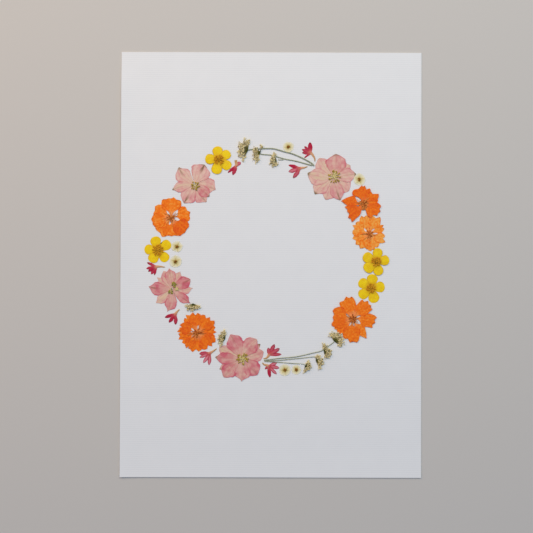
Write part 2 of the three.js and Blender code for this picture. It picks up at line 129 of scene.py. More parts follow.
# Petals carry three attributes. petalPlace: along (0 base, 1 tip), across (1 left, -1 right) and how many
# petals lie under it, from which the petal shaders paint deeper shade. petalMarks: tone (pale to deep), straw
# (faded to beige) and tip (browned end).
# petalRib: how dark its midrib is.
def readPetal(tree):
    place = addNode(tree, "ShaderNodeAttribute", out="Vector", attribute_name="petalPlace")
    marks = addNode(tree, "ShaderNodeAttribute", out="Vector", attribute_name="petalMarks")
    along, across, under = addNode(tree, "ShaderNodeSeparateXYZ", {0: place}).node.outputs
    tone, straw, tip = addNode(tree, "ShaderNodeSeparateXYZ", {0: marks}).node.outputs
    side = maths(tree, "ABSOLUTE", across)
    return along, across, side, under, tone, straw, tip


# Dried larkspur petal: tissue-thin and matt. It fades from pink to straw in the middle; its edges carry
# painted shade lines for where petals overlap, and its doubled layers carry painted shade for light filtered
# through two petals; its midrib and pointed end turn olive brown.
larkspurLook = {
    "pale": "#efc6b8", "deep": "#d25f70", "straw": "#e2c4a0", "cream": "#e6cdb0", "brown": "#7a6238",
    "mottleSize": 3.0, "veins": 13, "roughness": 0.82,
}


def makeLarkspurPetal(look):
    material, tree, shader = newMaterial("driedLarkspurPetal", look["roughness"], 0.25)
    along, across, side, under, tone, straw, tip = readPetal(tree)
    rib = addNode(tree, "ShaderNodeAttribute", out="Fac", attribute_name="petalRib")
    spot = addNode(tree, "ShaderNodeTexCoord", out="Object")
    mottle = noise(tree, spot, look["mottleSize"], 3.0)
    # Painted shade: edges are drawn deeper for the shade lines where petals overlap, and each petal lying
    # under adds depth for light filtered through doubled translucent petals
    edge = fade(tree, side, 0.72, 1.0, 0.0, 0.28)
    depth = maths(tree, "MULTIPLY_ADD", under, 0.17, tone)
    depth = maths(tree, "ADD", depth, edge)
    unevenDepth = spread(tree, mottle, 0.3, 0.7, -0.25, 0.25)
    depth = maths(tree, "ADD", depth, unevenDepth, clamp=True)
    colour = blend(tree, depth, linear(look["pale"]), linear(look["deep"]))
    faded = fade(tree, side, 0.15, 0.95, 1.0, 0.15)
    faded = maths(tree, "MULTIPLY", faded, straw)
    patchy = spread(tree, mottle, 0.38, 0.6, 1.3, 0.4)
    faded = maths(tree, "MULTIPLY", faded, patchy, clamp=True)
    colour = blend(tree, faded, colour, linear(look["straw"]))
    inner = fade(tree, along, 0.12, 0.6, 0.5, 0.0)
    colour = blend(tree, inner, colour, linear(look["cream"]))
    bent = maths(tree, "MULTIPLY_ADD", mottle, 0.35, across)
    vein = maths(tree, "MULTIPLY", bent, look["veins"])
    vein = maths(tree, "SINE", vein)
    vein = fade(tree, vein, 0.55, 1.0, 0.0, 0.24)
    colour = blend(tree, vein, colour, linear(look["deep"]))
    ribLine = fade(tree, side, 0.05, 0.24, 1.0, 0.0)
    ribRun = fade(tree, along, 0.4, 0.85)
    ribLine = maths(tree, "MULTIPLY", ribLine, ribRun)
    ribLine = maths(tree, "MULTIPLY", ribLine, rib)
    tipRun = fade(tree, along, 0.84, 0.99)
    brown = maths(tree, "MULTIPLY", tipRun, tip)
    brown = maths(tree, "MAXIMUM", brown, ribLine)
    colour = blend(tree, brown, colour, linear(look["brown"]))
    tree.links.new(colour, shader["Base Color"])
    height = maths(tree, "MULTIPLY_ADD", mottle, 0.5, vein)
    relief(tree, shader, height, 0.06, 0.8)
    return material


# Dried cosmos petal: a warm orange with painted deeper shade where petals lie double, standing in for light
# filtered through two petals, with fine pleats along it, a pale claw and scorched teeth.
cosmosLook = {
    "pale": "#ffb04c", "mid": "#ff800c", "deep": "#ea5806", "claw": "#f8c98c", "scorched": "#8c4a16",
    "mottleSize": 1.3, "pleats": 17, "roughness": 0.78,
}


def makeCosmosPetal(look):
    material, tree, shader = newMaterial("driedCosmosPetal", look["roughness"], 0.3)
    along, across, side, under, tone, straw, tip = readPetal(tree)
    spot = addNode(tree, "ShaderNodeTexCoord", out="Object")
    mottle = noise(tree, spot, look["mottleSize"], 4.0)
    # Painted shade: each petal lying under adds depth for light filtered through doubled translucent petals
    depth = maths(tree, "MULTIPLY_ADD", under, 0.15, tone)
    uneven = spread(tree, mottle, 0.3, 0.7, -0.28, 0.28)
    depth = maths(tree, "ADD", depth, uneven)
    pleat = maths(tree, "MULTIPLY_ADD", mottle, 0.4, across)
    pleat = maths(tree, "MULTIPLY", pleat, look["pleats"])
    pleat = maths(tree, "SINE", pleat)
    depth = maths(tree, "MULTIPLY_ADD", pleat, 0.05, depth)
    edge = fade(tree, side, 0.8, 1.0, 0.0, 0.2)
    depth = maths(tree, "ADD", depth, edge)
    ramp = colourRun(tree, depth, (0.0, look["pale"]), (1.0, look["deep"]), (0.45, look["mid"]))
    claw = fade(tree, along, 0.12, 0.42, 0.75, 0.0)
    claw = maths(tree, "MULTIPLY", claw, straw)
    colour = blend(tree, claw, ramp, linear(look["claw"]))
    scorch = fade(tree, along, 0.92, 1.0)
    scorch = maths(tree, "MULTIPLY", scorch, tip)
    patchy = fade(tree, mottle, 0.48, 0.62, 0.1, 1.0)
    scorch = maths(tree, "MULTIPLY", scorch, patchy)
    colour = blend(tree, scorch, colour, linear(look["scorched"]))
    tree.links.new(colour, shader["Base Color"])
    height = maths(tree, "MULTIPLY_ADD", pleat, 0.2, mottle)
    relief(tree, shader, height, 0.07, 0.7)
    return material


# Dried buttercup petal: keeps its waxy gloss, with painted highlight patches of a lighter yellow. Bright
# yellow with an ochre base, rim and fine guide lines, and painted shade where petals lie double.
buttercupLook = {
    "glossHighlight": "#ffdc00", "middle": "#f6c800", "ochre": "#d29c00",
    "mottleSize": 1.8, "guides": 21, "roughness": 0.5,
}


def makeButtercupPetal(look):
    material, tree, shader = newMaterial("waxyButtercupPetal", look["roughness"], 0.25)
    along, across, side, under = readPetal(tree)[:4]
    spot = addNode(tree, "ShaderNodeTexCoord", out="Object")
    mottle = noise(tree, spot, look["mottleSize"], 2.0)
    # Painted highlight: mottled patches of the lighter yellow stand in for the waxy gloss
    glossPatches = spread(tree, mottle, 0.35, 0.65)
    colour = blend(tree, glossPatches, linear(look["middle"]), linear(look["glossHighlight"]))
    guide = maths(tree, "MULTIPLY_ADD", mottle, 0.25, across)
    guide = maths(tree, "MULTIPLY", guide, look["guides"])
    guide = maths(tree, "SINE", guide)
    guide = fade(tree, guide, 0.5, 1.0, 0.0, 0.42)
    base = fade(tree, along, 0.25, 0.5, 0.6, 0.0)
    rim = fade(tree, side, 0.8, 1.0, 0.0, 0.8)
    shade = maths(tree, "MAXIMUM", base, rim)
    shade = maths(tree, "MAXIMUM", shade, guide)
    # Painted shade: deeper ochre where other petals lie under, standing in for light filtered through doubled
    # petals
    shade = maths(tree, "MULTIPLY_ADD", under, 0.12, shade, clamp=True)
    colour = blend(tree, shade, colour, linear(look["ochre"]))
    tree.links.new(colour, shader["Base Color"])
    height = maths(tree, "MULTIPLY_ADD", guide, 0.6, mottle)
    relief(tree, shader, height, 0.05, 0.6)
    return material


# Small cream flower: papery, nearly white at its frayed edge, straw yellow near the eye.
creamLook = {"edge": "#efe8cc", "cream": "#e6d8a4", "base": "#c4ae60", "mottleSize": 1.2, "roughness": 0.85}


def makeCreamPetal(look):
    material, tree, shader = newMaterial("driedCreamPetal", look["roughness"], 0.2)
    along = readPetal(tree)[0]
    spot = addNode(tree, "ShaderNodeTexCoord", out="Object")
    mottle = noise(tree, spot, look["mottleSize"], 3.0)
    out = maths(tree, "MULTIPLY_ADD", mottle, 0.3, along)
    ramp = colourRun(tree, out, (0.35, look["base"]), (1.0, look["edge"]), (0.62, look["cream"]))
    tree.links.new(ramp, shader["Base Color"])
    relief(tree, shader, mottle, 0.06, 0.7)
    return material


# Red tubular floret: a tan stalk swells to a peach tube and opens in crimson lobes with dark ends.
redLook = {
    "stalk": "#bf9358", "tube": "#dba67c", "throat": "#cc5a5c", "lobe": "#b81f3e", "dark": "#7e0c28",
    "pink": "#e48c96",
    "mottleSize": 1.4, "roughness": 0.78,
}


def makeRedPetal(look):
    material, tree, shader = newMaterial("driedRedFloret", look["roughness"], 0.25)
    along, _, side, _, tone = readPetal(tree)[:5]
    spot = addNode(tree, "ShaderNodeTexCoord", out="Object")
    mottle = noise(tree, spot, look["mottleSize"], 3.0)
    uneven = spread(tree, mottle, 0.3, 0.7, -0.08, 0.08)
    run = maths(tree, "ADD", along, uneven)
    between = ((0.3, "tube"), (0.46, "throat"), (0.64, "lobe"), (0.86, "lobe"))
    ramp = colourRun(tree, run, (0.0, look["stalk"]), (1.0, look["dark"]),
                     *((place, look[name]) for place, name in between))
    pink = fade(tree, along, 0.45, 0.65)
    pink = maths(tree, "MULTIPLY", pink, tone)
    middle = fade(tree, side, 0.2, 0.85, 1.0, 0.1)
    pink = maths(tree, "MULTIPLY", pink, middle)
    colour = blend(tree, pink, ramp, linear(look["pink"]))
    tree.links.new(colour, shader["Base Color"])
    relief(tree, shader, mottle, 0.06, 0.7)
    return material


# Dried stalks, pollen and florets: dull plant fibre, one colour streaked with a second one.
def makeFibre(name, light, dark, size=0.7, roughness=0.85):
    material, tree, shader = newMaterial(name, roughness, 0.2)
    spot = addNode(tree, "ShaderNodeTexCoord", out="Object")
    streak = noise(tree, spot, size, 3.0)
    share = spread(tree, streak, 0.35, 0.65)
    colour = blend(tree, share, linear(light), linear(dark))
    tree.links.new(colour, shader["Base Color"])
    relief(tree, shader, streak, 0.05, 0.6)
    return material


# Umbel ray: a thread that is green where the rays meet and pale straw where the florets sit.
rayLook = {"green": "#3c4418", "olive": "#6f6830", "straw": "#cbb478"}


def makeRay(look):
    material, tree, shader = newMaterial("laceRay", 0.85, 0.2)
    along = addNode(tree, "ShaderNodeAttribute", out="Fac", attribute_name="rayShare")
    spot = addNode(tree, "ShaderNodeTexCoord", out="Object")
    streak = noise(tree, spot, 0.8, 2.0)
    run = maths(tree, "MULTIPLY_ADD", streak, 0.5, along)
    ramp = colourRun(tree, run, (0.3, look["green"]), (0.95, look["straw"]), (0.7, look["olive"]))
    tree.links.new(ramp, shader["Base Color"])
    return material


# Laid paper: white matt card with the even ribs of a wire mould, set wide enough apart to show.
paperLook = {"white": "#eeedeb", "rib": "#e6e5e4", "ribSpacing": 1.5, "fibre": 0.5, "cloud": 14,
             "roughness": 0.92}


def makeLaidPaper(look):
    material, tree, shader = newMaterial("whiteLaidPaper", look["roughness"], 0.15)
    spot = addNode(tree, "ShaderNodeTexCoord", out="Object")
    fibre = noise(tree, spot, look["fibre"], 3.0)
    cloud = noise(tree, spot, look["cloud"], 2.0)
    scale = math.pi / 10 / (look["ribSpacing"] * mm)  # a wave of scale 1 repeats every pi / 10 metres
    wave = {"Vector": spot, "Scale": scale, "Distortion": 0.6, "Detail": 1.0, "Detail Scale": 0.02}
    ribs = addNode(tree, "ShaderNodeTexWave", wave, out="Fac", bands_direction="Y")
    share = maths(tree, "MULTIPLY", ribs, cloud)
    colour = blend(tree, share, linear(look["white"]), linear(look["rib"]))
    tree.links.new(colour, shader["Base Color"])
    height = maths(tree, "MULTIPLY_ADD", fibre, 0.5, ribs)
    relief(tree, shader, height, 0.02, 0.5)
    return material


materials = {
    "larkspur": makeLarkspurPetal(larkspurLook),
    "cosmos": makeCosmosPetal(cosmosLook),
    "buttercup": makeButtercupPetal(buttercupLook),
    "cream": makeCreamPetal(creamLook),
    "red": makeRedPetal(redLook),
    "paper": makeLaidPaper(paperLook),
    "oliveAnther": makeFibre("oliveAnther", "#ceb03e", "#8a7426"),
    "greenAnther": makeFibre("greenAnther", "#b4a83c", "#74742c"),
    "paleFilament": makeFibre("paleFilament", "#ead9a0", "#c8b268"),
    "rustAnther": makeFibre("rustAnther", "#cc661e", "#984416"),
    "rustDisc": makeFibre("rustDisc", "#e08a3e", "#b8642a", size=1.1),
    "apricotDisc": makeFibre("apricotDisc", "#e8984a", "#cc7630", size=1.1),
    "orangeFilament": makeFibre("orangeFilament", "#f2a252", "#dc8438"),
    "goldStamen": makeFibre("goldStamen", "#e6aa1c", "#c48414"),
    "amberAnther": makeFibre("amberAnther", "#e6a422", "#bd7412"),
    "umberCarpel": makeFibre("umberCarpel", "#ac7c1c", "#74500f"),
    "brownSepal": makeFibre("brownSepal", "#8a6a30", "#5e4a26"),
    "goldenEye": makeFibre("goldenEye", "#aa6c1c", "#6e3e0e"),
    "laceStem": makeFibre("laceStem", "#b0b294", "#8f9472", size=1.4),
    "laceRay": makeRay(rayLook),
    "laceFloret": makeFibre("laceFloret", "#f8ebbc", "#dcc68a", size=0.7),
    "laceSeed": makeFibre("laceSeed", "#6a5a30", "#43361c"),
}
print("materials:", len(materials))


# A shell collects closed sheets: points, faces and what each point knows of its petal
def newShell():
    return {"points": [], "faces": [], "place": [], "marks": [], "rib": []}


def addSheet(shell, sheet):
    tops = sheet["tops"]
    rows, columns = tops.shape
    start = sum(len(block) for block in shell["points"])
    under = start + rows * columns
    for heights in (tops, np.maximum(tops - sheet["thickness"], cardGap)):
        shell["points"].append(np.dstack([sheet["spots"], heights + cardTop]).reshape(-1, 3))
        along, across = np.meshgrid(sheet["along"], sheet["across"], indexing="ij")
        shell["place"].append(np.dstack([along, across, sheet["under"]]).reshape(-1, 3))
        shell["marks"].append(np.tile(sheet["marks"], (rows * columns, 1)))
        shell["rib"].append(np.full(rows * columns, sheet["rib"]))
    for i in range(rows - 1):
        for j in range(columns - 1):
            a = start + i * columns + j
            shell["faces"].append((a, a + 1, a + columns + 1, a + columns))
            b = a - start + under
            shell["faces"].append((b, b + columns, b + columns + 1, b + 1))
    loop = list(range(columns))
    loop += [i * columns + columns - 1 for i in range(1, rows)]
    loop += [(rows - 1) * columns + j for j in range(columns - 2, -1, -1)]
    loop += [i * columns for i in range(rows - 2, 0, -1)]
    for p, q in zip(loop, loop[1:] + loop[:1]):
        shell["faces"].append((under + p, under + q, start + q, start + p))


def settle(piece, slot, *nodes):
    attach(piece, "root")
    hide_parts(*nodes)


def shellPiece(name, shell, material, slot, *nodes):
    mesh = bpy.data.meshes.new(name)
    mesh.from_pydata((np.concatenate(shell["points"]) * mm).tolist(), [], shell["faces"])
    for label, kind, field, rows in (("petalPlace", "FLOAT_VECTOR", "vector", shell["place"]),
                                     ("petalMarks", "FLOAT_VECTOR", "vector", shell["marks"]),
                                     ("petalRib", "FLOAT", "value", shell["rib"])):
        values = np.concatenate(rows).ravel().astype(np.float32)
        mesh.attributes.new(label, kind, "POINT").data.foreach_set(field, values)
    mesh.materials.append(material)
    mesh.shade_smooth()
    mesh.set_sharp_from_angle(angle=math.radians(40))
    piece = bpy.data.objects.new(name, mesh)
    bpy.context.scene.collection.objects.link(piece)
    settle(piece, slot, *nodes)
    return piece


# How a petal lies: rows and columns of its mesh, where it is widest, how full its end is, how wide its
# claw is, and the heights of its midrib, cupped sides, crumple and pleats
petalForms = {
    "larkspur": {"rows": 22, "columns": 13, "widest": 0.6, "fullness": 0.72, "claw": 0.5, "wave": 0.035,
                 "rib": 0.06, "cup": 0.03, "crumple": 0.045, "pleat": 0.012, "pleats": 5, "broaden": 1.07,
                 "sharpen": 0.2},
    "buttercup": {"rows": 18, "columns": 13, "widest": 0.63, "fullness": 0.46, "claw": 0.6, "wave": 0.015,
                  "rib": 0.0, "cup": -0.14, "crumple": 0.03, "pleat": 0.01, "pleats": 6},
    "cosmos": {"rows": 22, "claw": 0.45, "wave": 0.0, "rib": 0.0, "cup": 0.03, "crumple": 0.05,
               "pleat": 0.03, "pleats": 6},
    "cream": {"rows": 10, "columns": 7, "widest": 0.66, "fullness": 0.5, "claw": 0.4, "wave": 0.1,
              "rib": 0.0, "cup": 0.06, "crumple": 0.04, "pleat": 0.02, "pleats": 3},
    "red": {"rows": 12, "columns": 7, "widest": 0.58, "fullness": 0.62, "claw": 0.75, "wave": 0.05,
            "rib": 0.05, "cup": -0.12, "crumple": 0.04, "pleat": 0.0, "pleats": 1},
    "sepal": {"rows": 8, "columns": 5, "widest": 0.5, "fullness": 0.8, "claw": 0.3, "wave": 0.05,
              "rib": 0.04, "cup": 0.03, "crumple": 0.02, "pleat": 0.0, "pleats": 1},
}
layerStep = 0.08  # height of one petal over the next
tipSettle = 0.15  # share of that height that the tip sinks by
petalThickness = 0.1
petalRest = 0.12  # upper face of the lowest petals over the card
lowestTop = 0.06  # no petal's upper face comes nearer to the card
cardGap = 0.02  # and no lower face
bendShare = 0.6  # where a short petal's midrib may bend
leafForm = {"start": 0.03, "pointDepth": 0.8, "pointFrom": 0.7, "pointTo": 0.96, "tipHalf": 0.1}
sepalForm = {"base": 2, "bend": 4, "tip": 6.4, "width": 1.5}


def crumple(spots, rng):  # low uneven waves, about -1 to 1
    waves = np.zeros(spots.shape[:2])
    for length in (6.0, 4.2, 3.1, 2.3, 1.7):
        turn = rng.uniform(0, 2 * math.pi)
        run = spots @ np.array([math.cos(turn), math.sin(turn)])
        waves += np.sin(run * 2 * math.pi / length + rng.uniform(0, 2 * math.pi)) * length / 9
    return waves


def raggedEdge(t, depth, rng):
    return 1 + depth * sum(np.sin(t * speed + rng.uniform(0, 6.3)) for speed in (7, 19, 41))


def layPetal(spots, along, across, form, seed, layer=0, lift=0.0, marks=(0, 0, 0), rib=0.0):
    rng = np.random.RandomState(seed)
    t, s = np.meshgrid(along, across, indexing="ij")
    tops = petalRest + lift + layer * layerStep * (1 - tipSettle * t ** 2)
    tops = tops + form["rib"] * np.exp(-(s / 0.14) ** 2) * smooth(0, 0.3, t) * (1 - smooth(0.9, 1, t))
    tops += form["cup"] * (s ** 2 - 0.3) * smooth(0, 0.4, t)
    tops += form["pleat"] * np.sin(s * form["pleats"] * math.pi + rng.uniform(0, 6)) * smooth(0.1, 0.5, t)
    tops += form["crumple"] * crumple(spots, rng)
    return {"spots": spots, "tops": np.maximum(tops, lowestTop), "along": along, "across": across,
            "marks": marks, "rib": rib,
            "under": np.zeros(tops.shape), "thickness": petalThickness}


def leafSpots(base, bend, tip, width, form, seed, point=0.0):
    rng = np.random.RandomState(seed)
    t = np.sin(np.linspace(leafForm["start"], 1, form["rows"]) * math.pi / 2)
    k = t[:, None]
    base, bend, tip = (np.array(place, float) for place in (base, bend, tip))
    line = (1 - k) ** 2 * base + 2 * k * (1 - k) * bend + k ** 2 * tip
    run = (1 - k) * (bend - base) + k * (tip - bend)
    run /= np.linalg.norm(run, axis=1)[:, None]
    side = np.stack([-run[:, 1], run[:, 0]], axis=1)
    swell = math.log(0.5) / math.log(form["widest"])
    half = width / 2 * np.maximum(np.sin(math.pi * t ** swell), 0) ** form["fullness"]
    half *= 1 - leafForm["pointDepth"] * point * smooth(leafForm["pointFrom"], leafForm["pointTo"], t)
    half = np.maximum(half, np.where(t < 0.5, form["claw"], leafForm["tipHalf"]))
    s = np.linspace(1, -1, form["columns"])
    edges = [raggedEdge(t, form["wave"], rng)[:, None] for hand in range(2)]
    reach = np.where(s > 0, edges[0], edges[1]) * half[:, None] * s
    return line[:, None] + side[:, None] * reach[..., None], t, s


# Larkspurs. A petal is its axis, width, tip angle and reach, its layer, then its tone, straw, dark midrib,
# browned tip and how pointed it is. A tuft is where it sits, how far its stamens reach, and how many.
larkspurs = {
    "upper_left": {
        "at": (-53.5, 56.2),
        "petals": [
            (64, 13.0, 63, 15.0, 2, 0.22, 0.20, 0.9, 0.7, 0.1),
            (154, 10.4, 134, 16.0, 1, 0.18, 0.45, 0.5, 0.8, 0.4),
            (190, 6.8, 195, 16.2, 3, 0.25, 0.65, 0.2, 0.9, 0.5),
            (244, 10.4, 241, 15.4, 2, 0.32, 0.25, 0.8, 0.5, 0.2),
            (294, 10.0, 303, 15.2, 1, 0.35, 0.30, 0.4, 0.3, 0.5),
            (321, 7.4, 319, 13.6, 3, 0.45, 0.25, 0.2, 0.8, 0.3),
            (356, 11.4, 344, 15.2, 0, 0.30, 0.35, 0.2, 0.3, 0.5),
        ],
        "tufts": [((0.4, -1.4), 0.8, 3.0, 16, "oliveAnther")],
    },
    "upper_right": {
        "at": (43.3, 61.1),
        "petals": [
            (9, 9.6, 8, 16.2, 2, 0.20, 0.40, 0.2, 0.9, 0.4),
            (35, 9.0, 35, 14.6, 0, 0.15, 0.45, 0.0, 0.2, 0.0),
            (74, 13.6, 84, 16.3, 3, 0.48, 0.25, 0.1, 0.6, 0.1),
            (136, 10.0, 126, 16.5, 1, 0.22, 0.50, 0.0, 0.1, 0.0),
            (185, 11.6, 171, 18.0, 3, 0.15, 0.70, 0.1, 0.9, 0.3),
            (212, 10.0, 223, 17.4, 2, 0.18, 0.60, 0.0, 1.0, 0.3),
            (259, 10.0, 251, 16.6, 1, 0.22, 0.45, 0.1, 0.3, 0.2),
            (284, 9.0, 287, 16.8, 3, 0.30, 0.30, 0.7, 0.7, 0.2),
            (320, 11.4, 319, 14.7, 0, 0.28, 0.40, 0.0, 0.1, 0.0),
        ],
        "tufts": [((0.8, 0.2), 2.2, 4.4, 20, "oliveAnther"), ((0.6, 0.6), 0.2, 2.4, 12, "paleFilament")],
    },
    "bottom": {
        "at": (-20.3, -65.8),
        "petals": [
            (13, 9.6, 18, 16.0, 1, 0.40, 0.50, 0.1, 0.1, 0.1),
            (37, 5.6, 38, 16.4, 0, 0.40, 0.60, 0.2, 1.0, 0.1),
            (62, 10.8, 51, 17.0, 3, 0.50, 0.35, 0.0, 0.1, 0.0),
            (112, 11.0, 115, 18.5, 2, 0.65, 0.10, 0.25, 0.0, 0.3),
            (159, 8.8, 153, 17.4, 1, 0.35, 0.80, 0.0, 0.1, 0.0),
            (181, 8.0, 177, 18.4, 3, 0.65, 0.15, 0.2, 0.7, 0.4),
            (206, 6.0, 206, 17.2, 0, 0.40, 0.60, 0.1, 0.6, 0.2),
            (220, 10.4, 227, 17.9, 2, 0.62, 0.25, 0.1, 0.2, 0.0),
            (277, 10.6, 270, 16.0, 3, 0.52, 0.25, 0.1, 0.2, 1.0),
            (320, 11.2, 314, 15.8, 2, 0.66, 0.15, 0.25, 0.1, 0.0),
        ],
        "tufts": [((0.8, 0.0), 0.6, 4.2, 26, "oliveAnther"), ((0.6, -0.3), 0.3, 2.6, 12, "paleFilament")],
    },
    "left": {
        "at": (-69.2, -17.2),
        "petals": [
            (-11, 6.0, 2, 14.6, 1, 0.30, 0.65, 0.0, 0.1, 0.7),
            (26, 8.2, 27, 14.4, 3, 0.78, 0.10, 0.5, 0.2, 0.0),
            (65, 6.5, 64, 13.2, 1, 0.30, 0.65, 0.1, 0.0, 0.5),
            (95, 7.4, 98, 14.4, 2, 0.48, 0.45, 0.2, 0.2, 0.7),
            (116, 7.1, 115, 13.6, 1, 0.32, 0.65, 0.1, 0.0, 0.2),
            (143, 4.3, 143, 13.0, 0, 0.35, 0.55, 0.0, 0.1, 0.6),
            (184, 8.7, 175, 16.2, 2, 0.74, 0.10, 0.6, 0.2, 0.6),
            (230, 6.5, 222, 14.8, 1, 0.28, 0.80, 0.0, 0.0, 0.4),
            (273, 7.8, 259, 16.4, 2, 0.66, 0.20, 0.2, 0.2, 0.8),
            (319, 5.8, 322, 16.6, 3, 0.72, 0.10, 0.5, 0.4, 0.9),
        ],
        "tufts": [((1.6, 3.0), 0.2, 1.7, 11, "greenAnther"), ((3.6, -0.2), 0.1, 1.2, 8, "paleFilament"),
                  ((-0.4, -1.8), 0.2, 2.0, 8, "greenAnther")],
    },
}

# Cosmos. A petal is its axis, width, layer and tone, then the angle and reach of each tooth. The card shows
# through a few gaps between the claws: the angle of each gap and half its width.
cosmos = {
    "left": {
        "at": (-69.9, 32.4), "lift": 0.0, "claw": 0.6, "notch": 0.35,
        "gaps": [(35, 1.2), (345, 1.2), (266, 0.9), (123, 0.3)],
        "petals": [
            (89, 14, 2, 0.46, (113, 14.1), (97, 13.8), (83, 14.5), (65, 13.6)),
            (152, 11, 1, 0.42, (166, 12.8), (145, 13.9)), (192, 11, 3, 0.40, (201, 13.7), (185, 14)),
            (232, 12, 1, 0.42, (245, 14.8), (222, 13.5)),
            (270, 12, 2, 0.45, (290, 13.6), (272, 13), (252, 13.6)),
            (318, 12, 4, 0.74, (333, 14), (313, 14.3), (297, 14.3)),
            (375, 11.5, 1, 0.45, (393, 12.6), (377, 14), (357, 13.3)),
        ],
    },
    "lower_left": {
        "at": (-51.4, -47.9), "lift": 0.0, "claw": 0.5, "notch": 1.6,
        "gaps": [(146, 0.55), (88, 0.5), (169, 0.35), (214, 0.5)],
        "petals": [
            (9, 11, 1, 0.60, (16, 13.3), (2, 13.6), (-10, 12.8)),
            (51, 12, 3, 0.60, (66, 13.5), (51, 14.1), (35, 14.8)),
            (96, 10, 2, 0.58, (102, 14.6), (89, 13.9)), (124, 8, 1, 0.48, (130, 13.6), (123, 14.8)),
            (157, 9, 3, 0.62, (164, 12.9), (156, 13.4)), (178, 8, 2, 0.50, (183, 13.2), (177, 14)),
            (206, 8, 1, 0.52, (213, 12.6), (200, 13.8)), (236, 8, 3, 0.58, (241, 12.7), (235, 13.2)),
            (266, 10, 1, 0.58, (275, 13.2), (257, 13.9)),
            (318, 13, 2, 0.68, (333, 14.4), (318, 14.2), (303, 13.2)),
        ],
    },
    "upper_right": {
        "at": (64.6, 42.9), "lift": 0.4, "claw": 0.15, "notch": 0.7,
        "gaps": [(152, 1.1), (205, 0.4)],
        "petals": [
            (4, 8, 1, 0.66, (11, 10.4), (-5, 11.7)), (43, 10, 2, 0.64, (60, 9.8), (32, 12.4)),
            (101, 13, 3, 0.72, (122, 11.4), (97, 12.5), (86, 12.4), (72, 10.6)),
            (171, 8.5, 2, 0.70, (174, 15.8)),
            (216, 11, 3, 0.78, (238, 15.5), (223, 14.8), (208, 12.9), (193, 13.2)),
            (325, 11.5, 2, 0.64, (348, 12.4), (334, 13.2), (318, 13), (301, 11.3)),
        ],
    },
    "right": {
        "at": (68.5, 21.2), "lift": 0.0, "claw": 0.35, "notch": 1.0,
        "gaps": [(131, 0.5), (48, 0.4), (8, 0.45)],
        "petals": [
            (26, 6, 1, 0.28, (32, 12), (22, 11.4)), (66, 8.5, 2, 0.18, (77, 13.2), (58, 14.4)),
            (107, 8.5, 1, 0.20, (113, 14.1), (99, 13.5)),
            (154, 11, 3, 0.20, (168, 11.8), (151, 13.2), (139, 12.4)),
            (194, 7, 1, 0.22, (194, 12)), (217, 7, 2, 0.20, (217, 11.8)), (239, 7, 3, 0.18, (238, 11.8)),
            (260, 6, 1, 0.18, (262, 10.8)), (289, 10, 2, 0.20, (301, 10.8), (290, 11.8), (276, 11.9)),
            (342, 7.5, 3, 0.16, (352, 11.2), (335, 12.6)),
        ],
    },
    "lower_right": {
        "at": (57.3, -37.8), "lift": 0.35, "claw": 0.5, "notch": 0.75,
        "gaps": [(24, 0.5), (328, 1.4), (243, 0.5), (279, 0.5), (152, 0.3)],
        "petals": [
            (-5, 9.5, 1, 0.50, (3, 16.8), (-10, 15.9), (-24, 15)),
            (46, 9.8, 2, 0.52, (63, 15), (50, 16.4), (36, 15.8), (27, 15.3)),
            (109, 11, 1, 0.50, (128, 14.8), (107, 16.2), (94, 15.5)),
            (175, 15, 3, 0.56, (193, 15.4), (176, 14.2), (158, 15.3)),
            (210, 11, 1, 0.52, (222, 14.4), (208, 14.6), (198, 15.7)),
            (264, 12, 2, 0.54, (280, 16.8), (263, 16.7), (249, 15)), (304, 8, 1, 0.42, (305, 16.8)),
        ],
    },
}
cosmosForm = {"clawReach": 4.4, "bellyReach": 6.8, "belly": 0.46, "shoulder": 0.68, "pointedShoulder": 0.5,
              "shoulderStep": 0.6, "scorch": 0.6, "gapTurn": 80, "clawLeast": 0.35, "clawOverlap": 5,
              "clawTurn": 55, "clawMost": 3.4, "discPoints": 13, "discRag": 0.09, "discRest": 0.16,
              "discCrumple": 0.03, "shoulderHalf": 0.5, "round": 1.06,
              "columnsPerTooth": 5, "base": 0.9, "discHeight": 0.25}

# Buttercups. A petal is its axis, width and length; sepals show between the petals at these angles.
buttercups = {
    "top_left": {"at": (-36.5, 73.0), "lift": 0.3, "sepals": [222, 290], "spread": 3.3,
                 "petals": [(100, 7.2, 9.5), (175, 7.2, 9.7), (256, 7.6, 10.1), (325, 7.0, 9.8),
                            (36, 6.8, 9.3)]},
    "right_upper": {"at": (73.4, 2.0), "lift": 0.45, "sepals": [], "spread": 3.3,
                    "petals": [(80, 6.9, 9.6), (153, 7.4, 10.0), (218, 7.8, 10.0), (285, 7.0, 9.7),
                               (10, 7.0, 9.3)]},
    "right_lower": {"at": (69.9, -16.5), "lift": 0.0, "sepals": [], "spread": 3.2,
                    "petals": [(82, 7.7, 9.9), (148, 7.4, 9.8), (217, 7.4, 10.1), (287, 7.8, 10.5),
                               (8, 7.6, 9.7)]},
    "left": {"at": (-79.0, 9.7), "lift": 0.0, "sepals": [63], "spread": 4.0,
             "petals": [(105, 7.4, 9.8), (176, 7.0, 9.5), (240, 7.5, 9.7), (312, 7.0, 10.1),
                        (32, 7.4, 10.2)]},
}

# Cream flowers: place, reach, petals, angle of the first one
creamFlowers = {
    "top": ((11.9, 82.2), 3.8, 8, 60), "upper_right": ((61.6, 59.6), 4.2, 5, 50),
    "left_upper": ((-65.7, 12.1), 3.9, 5, 40),
    "left_lower": ((-66.7, 1.7), 4.2, 5, 55), "bottom_left": ((10.0, -73.7), 4.1, 6, 20),
    "bottom_right": ((17.9, -73.4), 3.4, 5, 30),
}

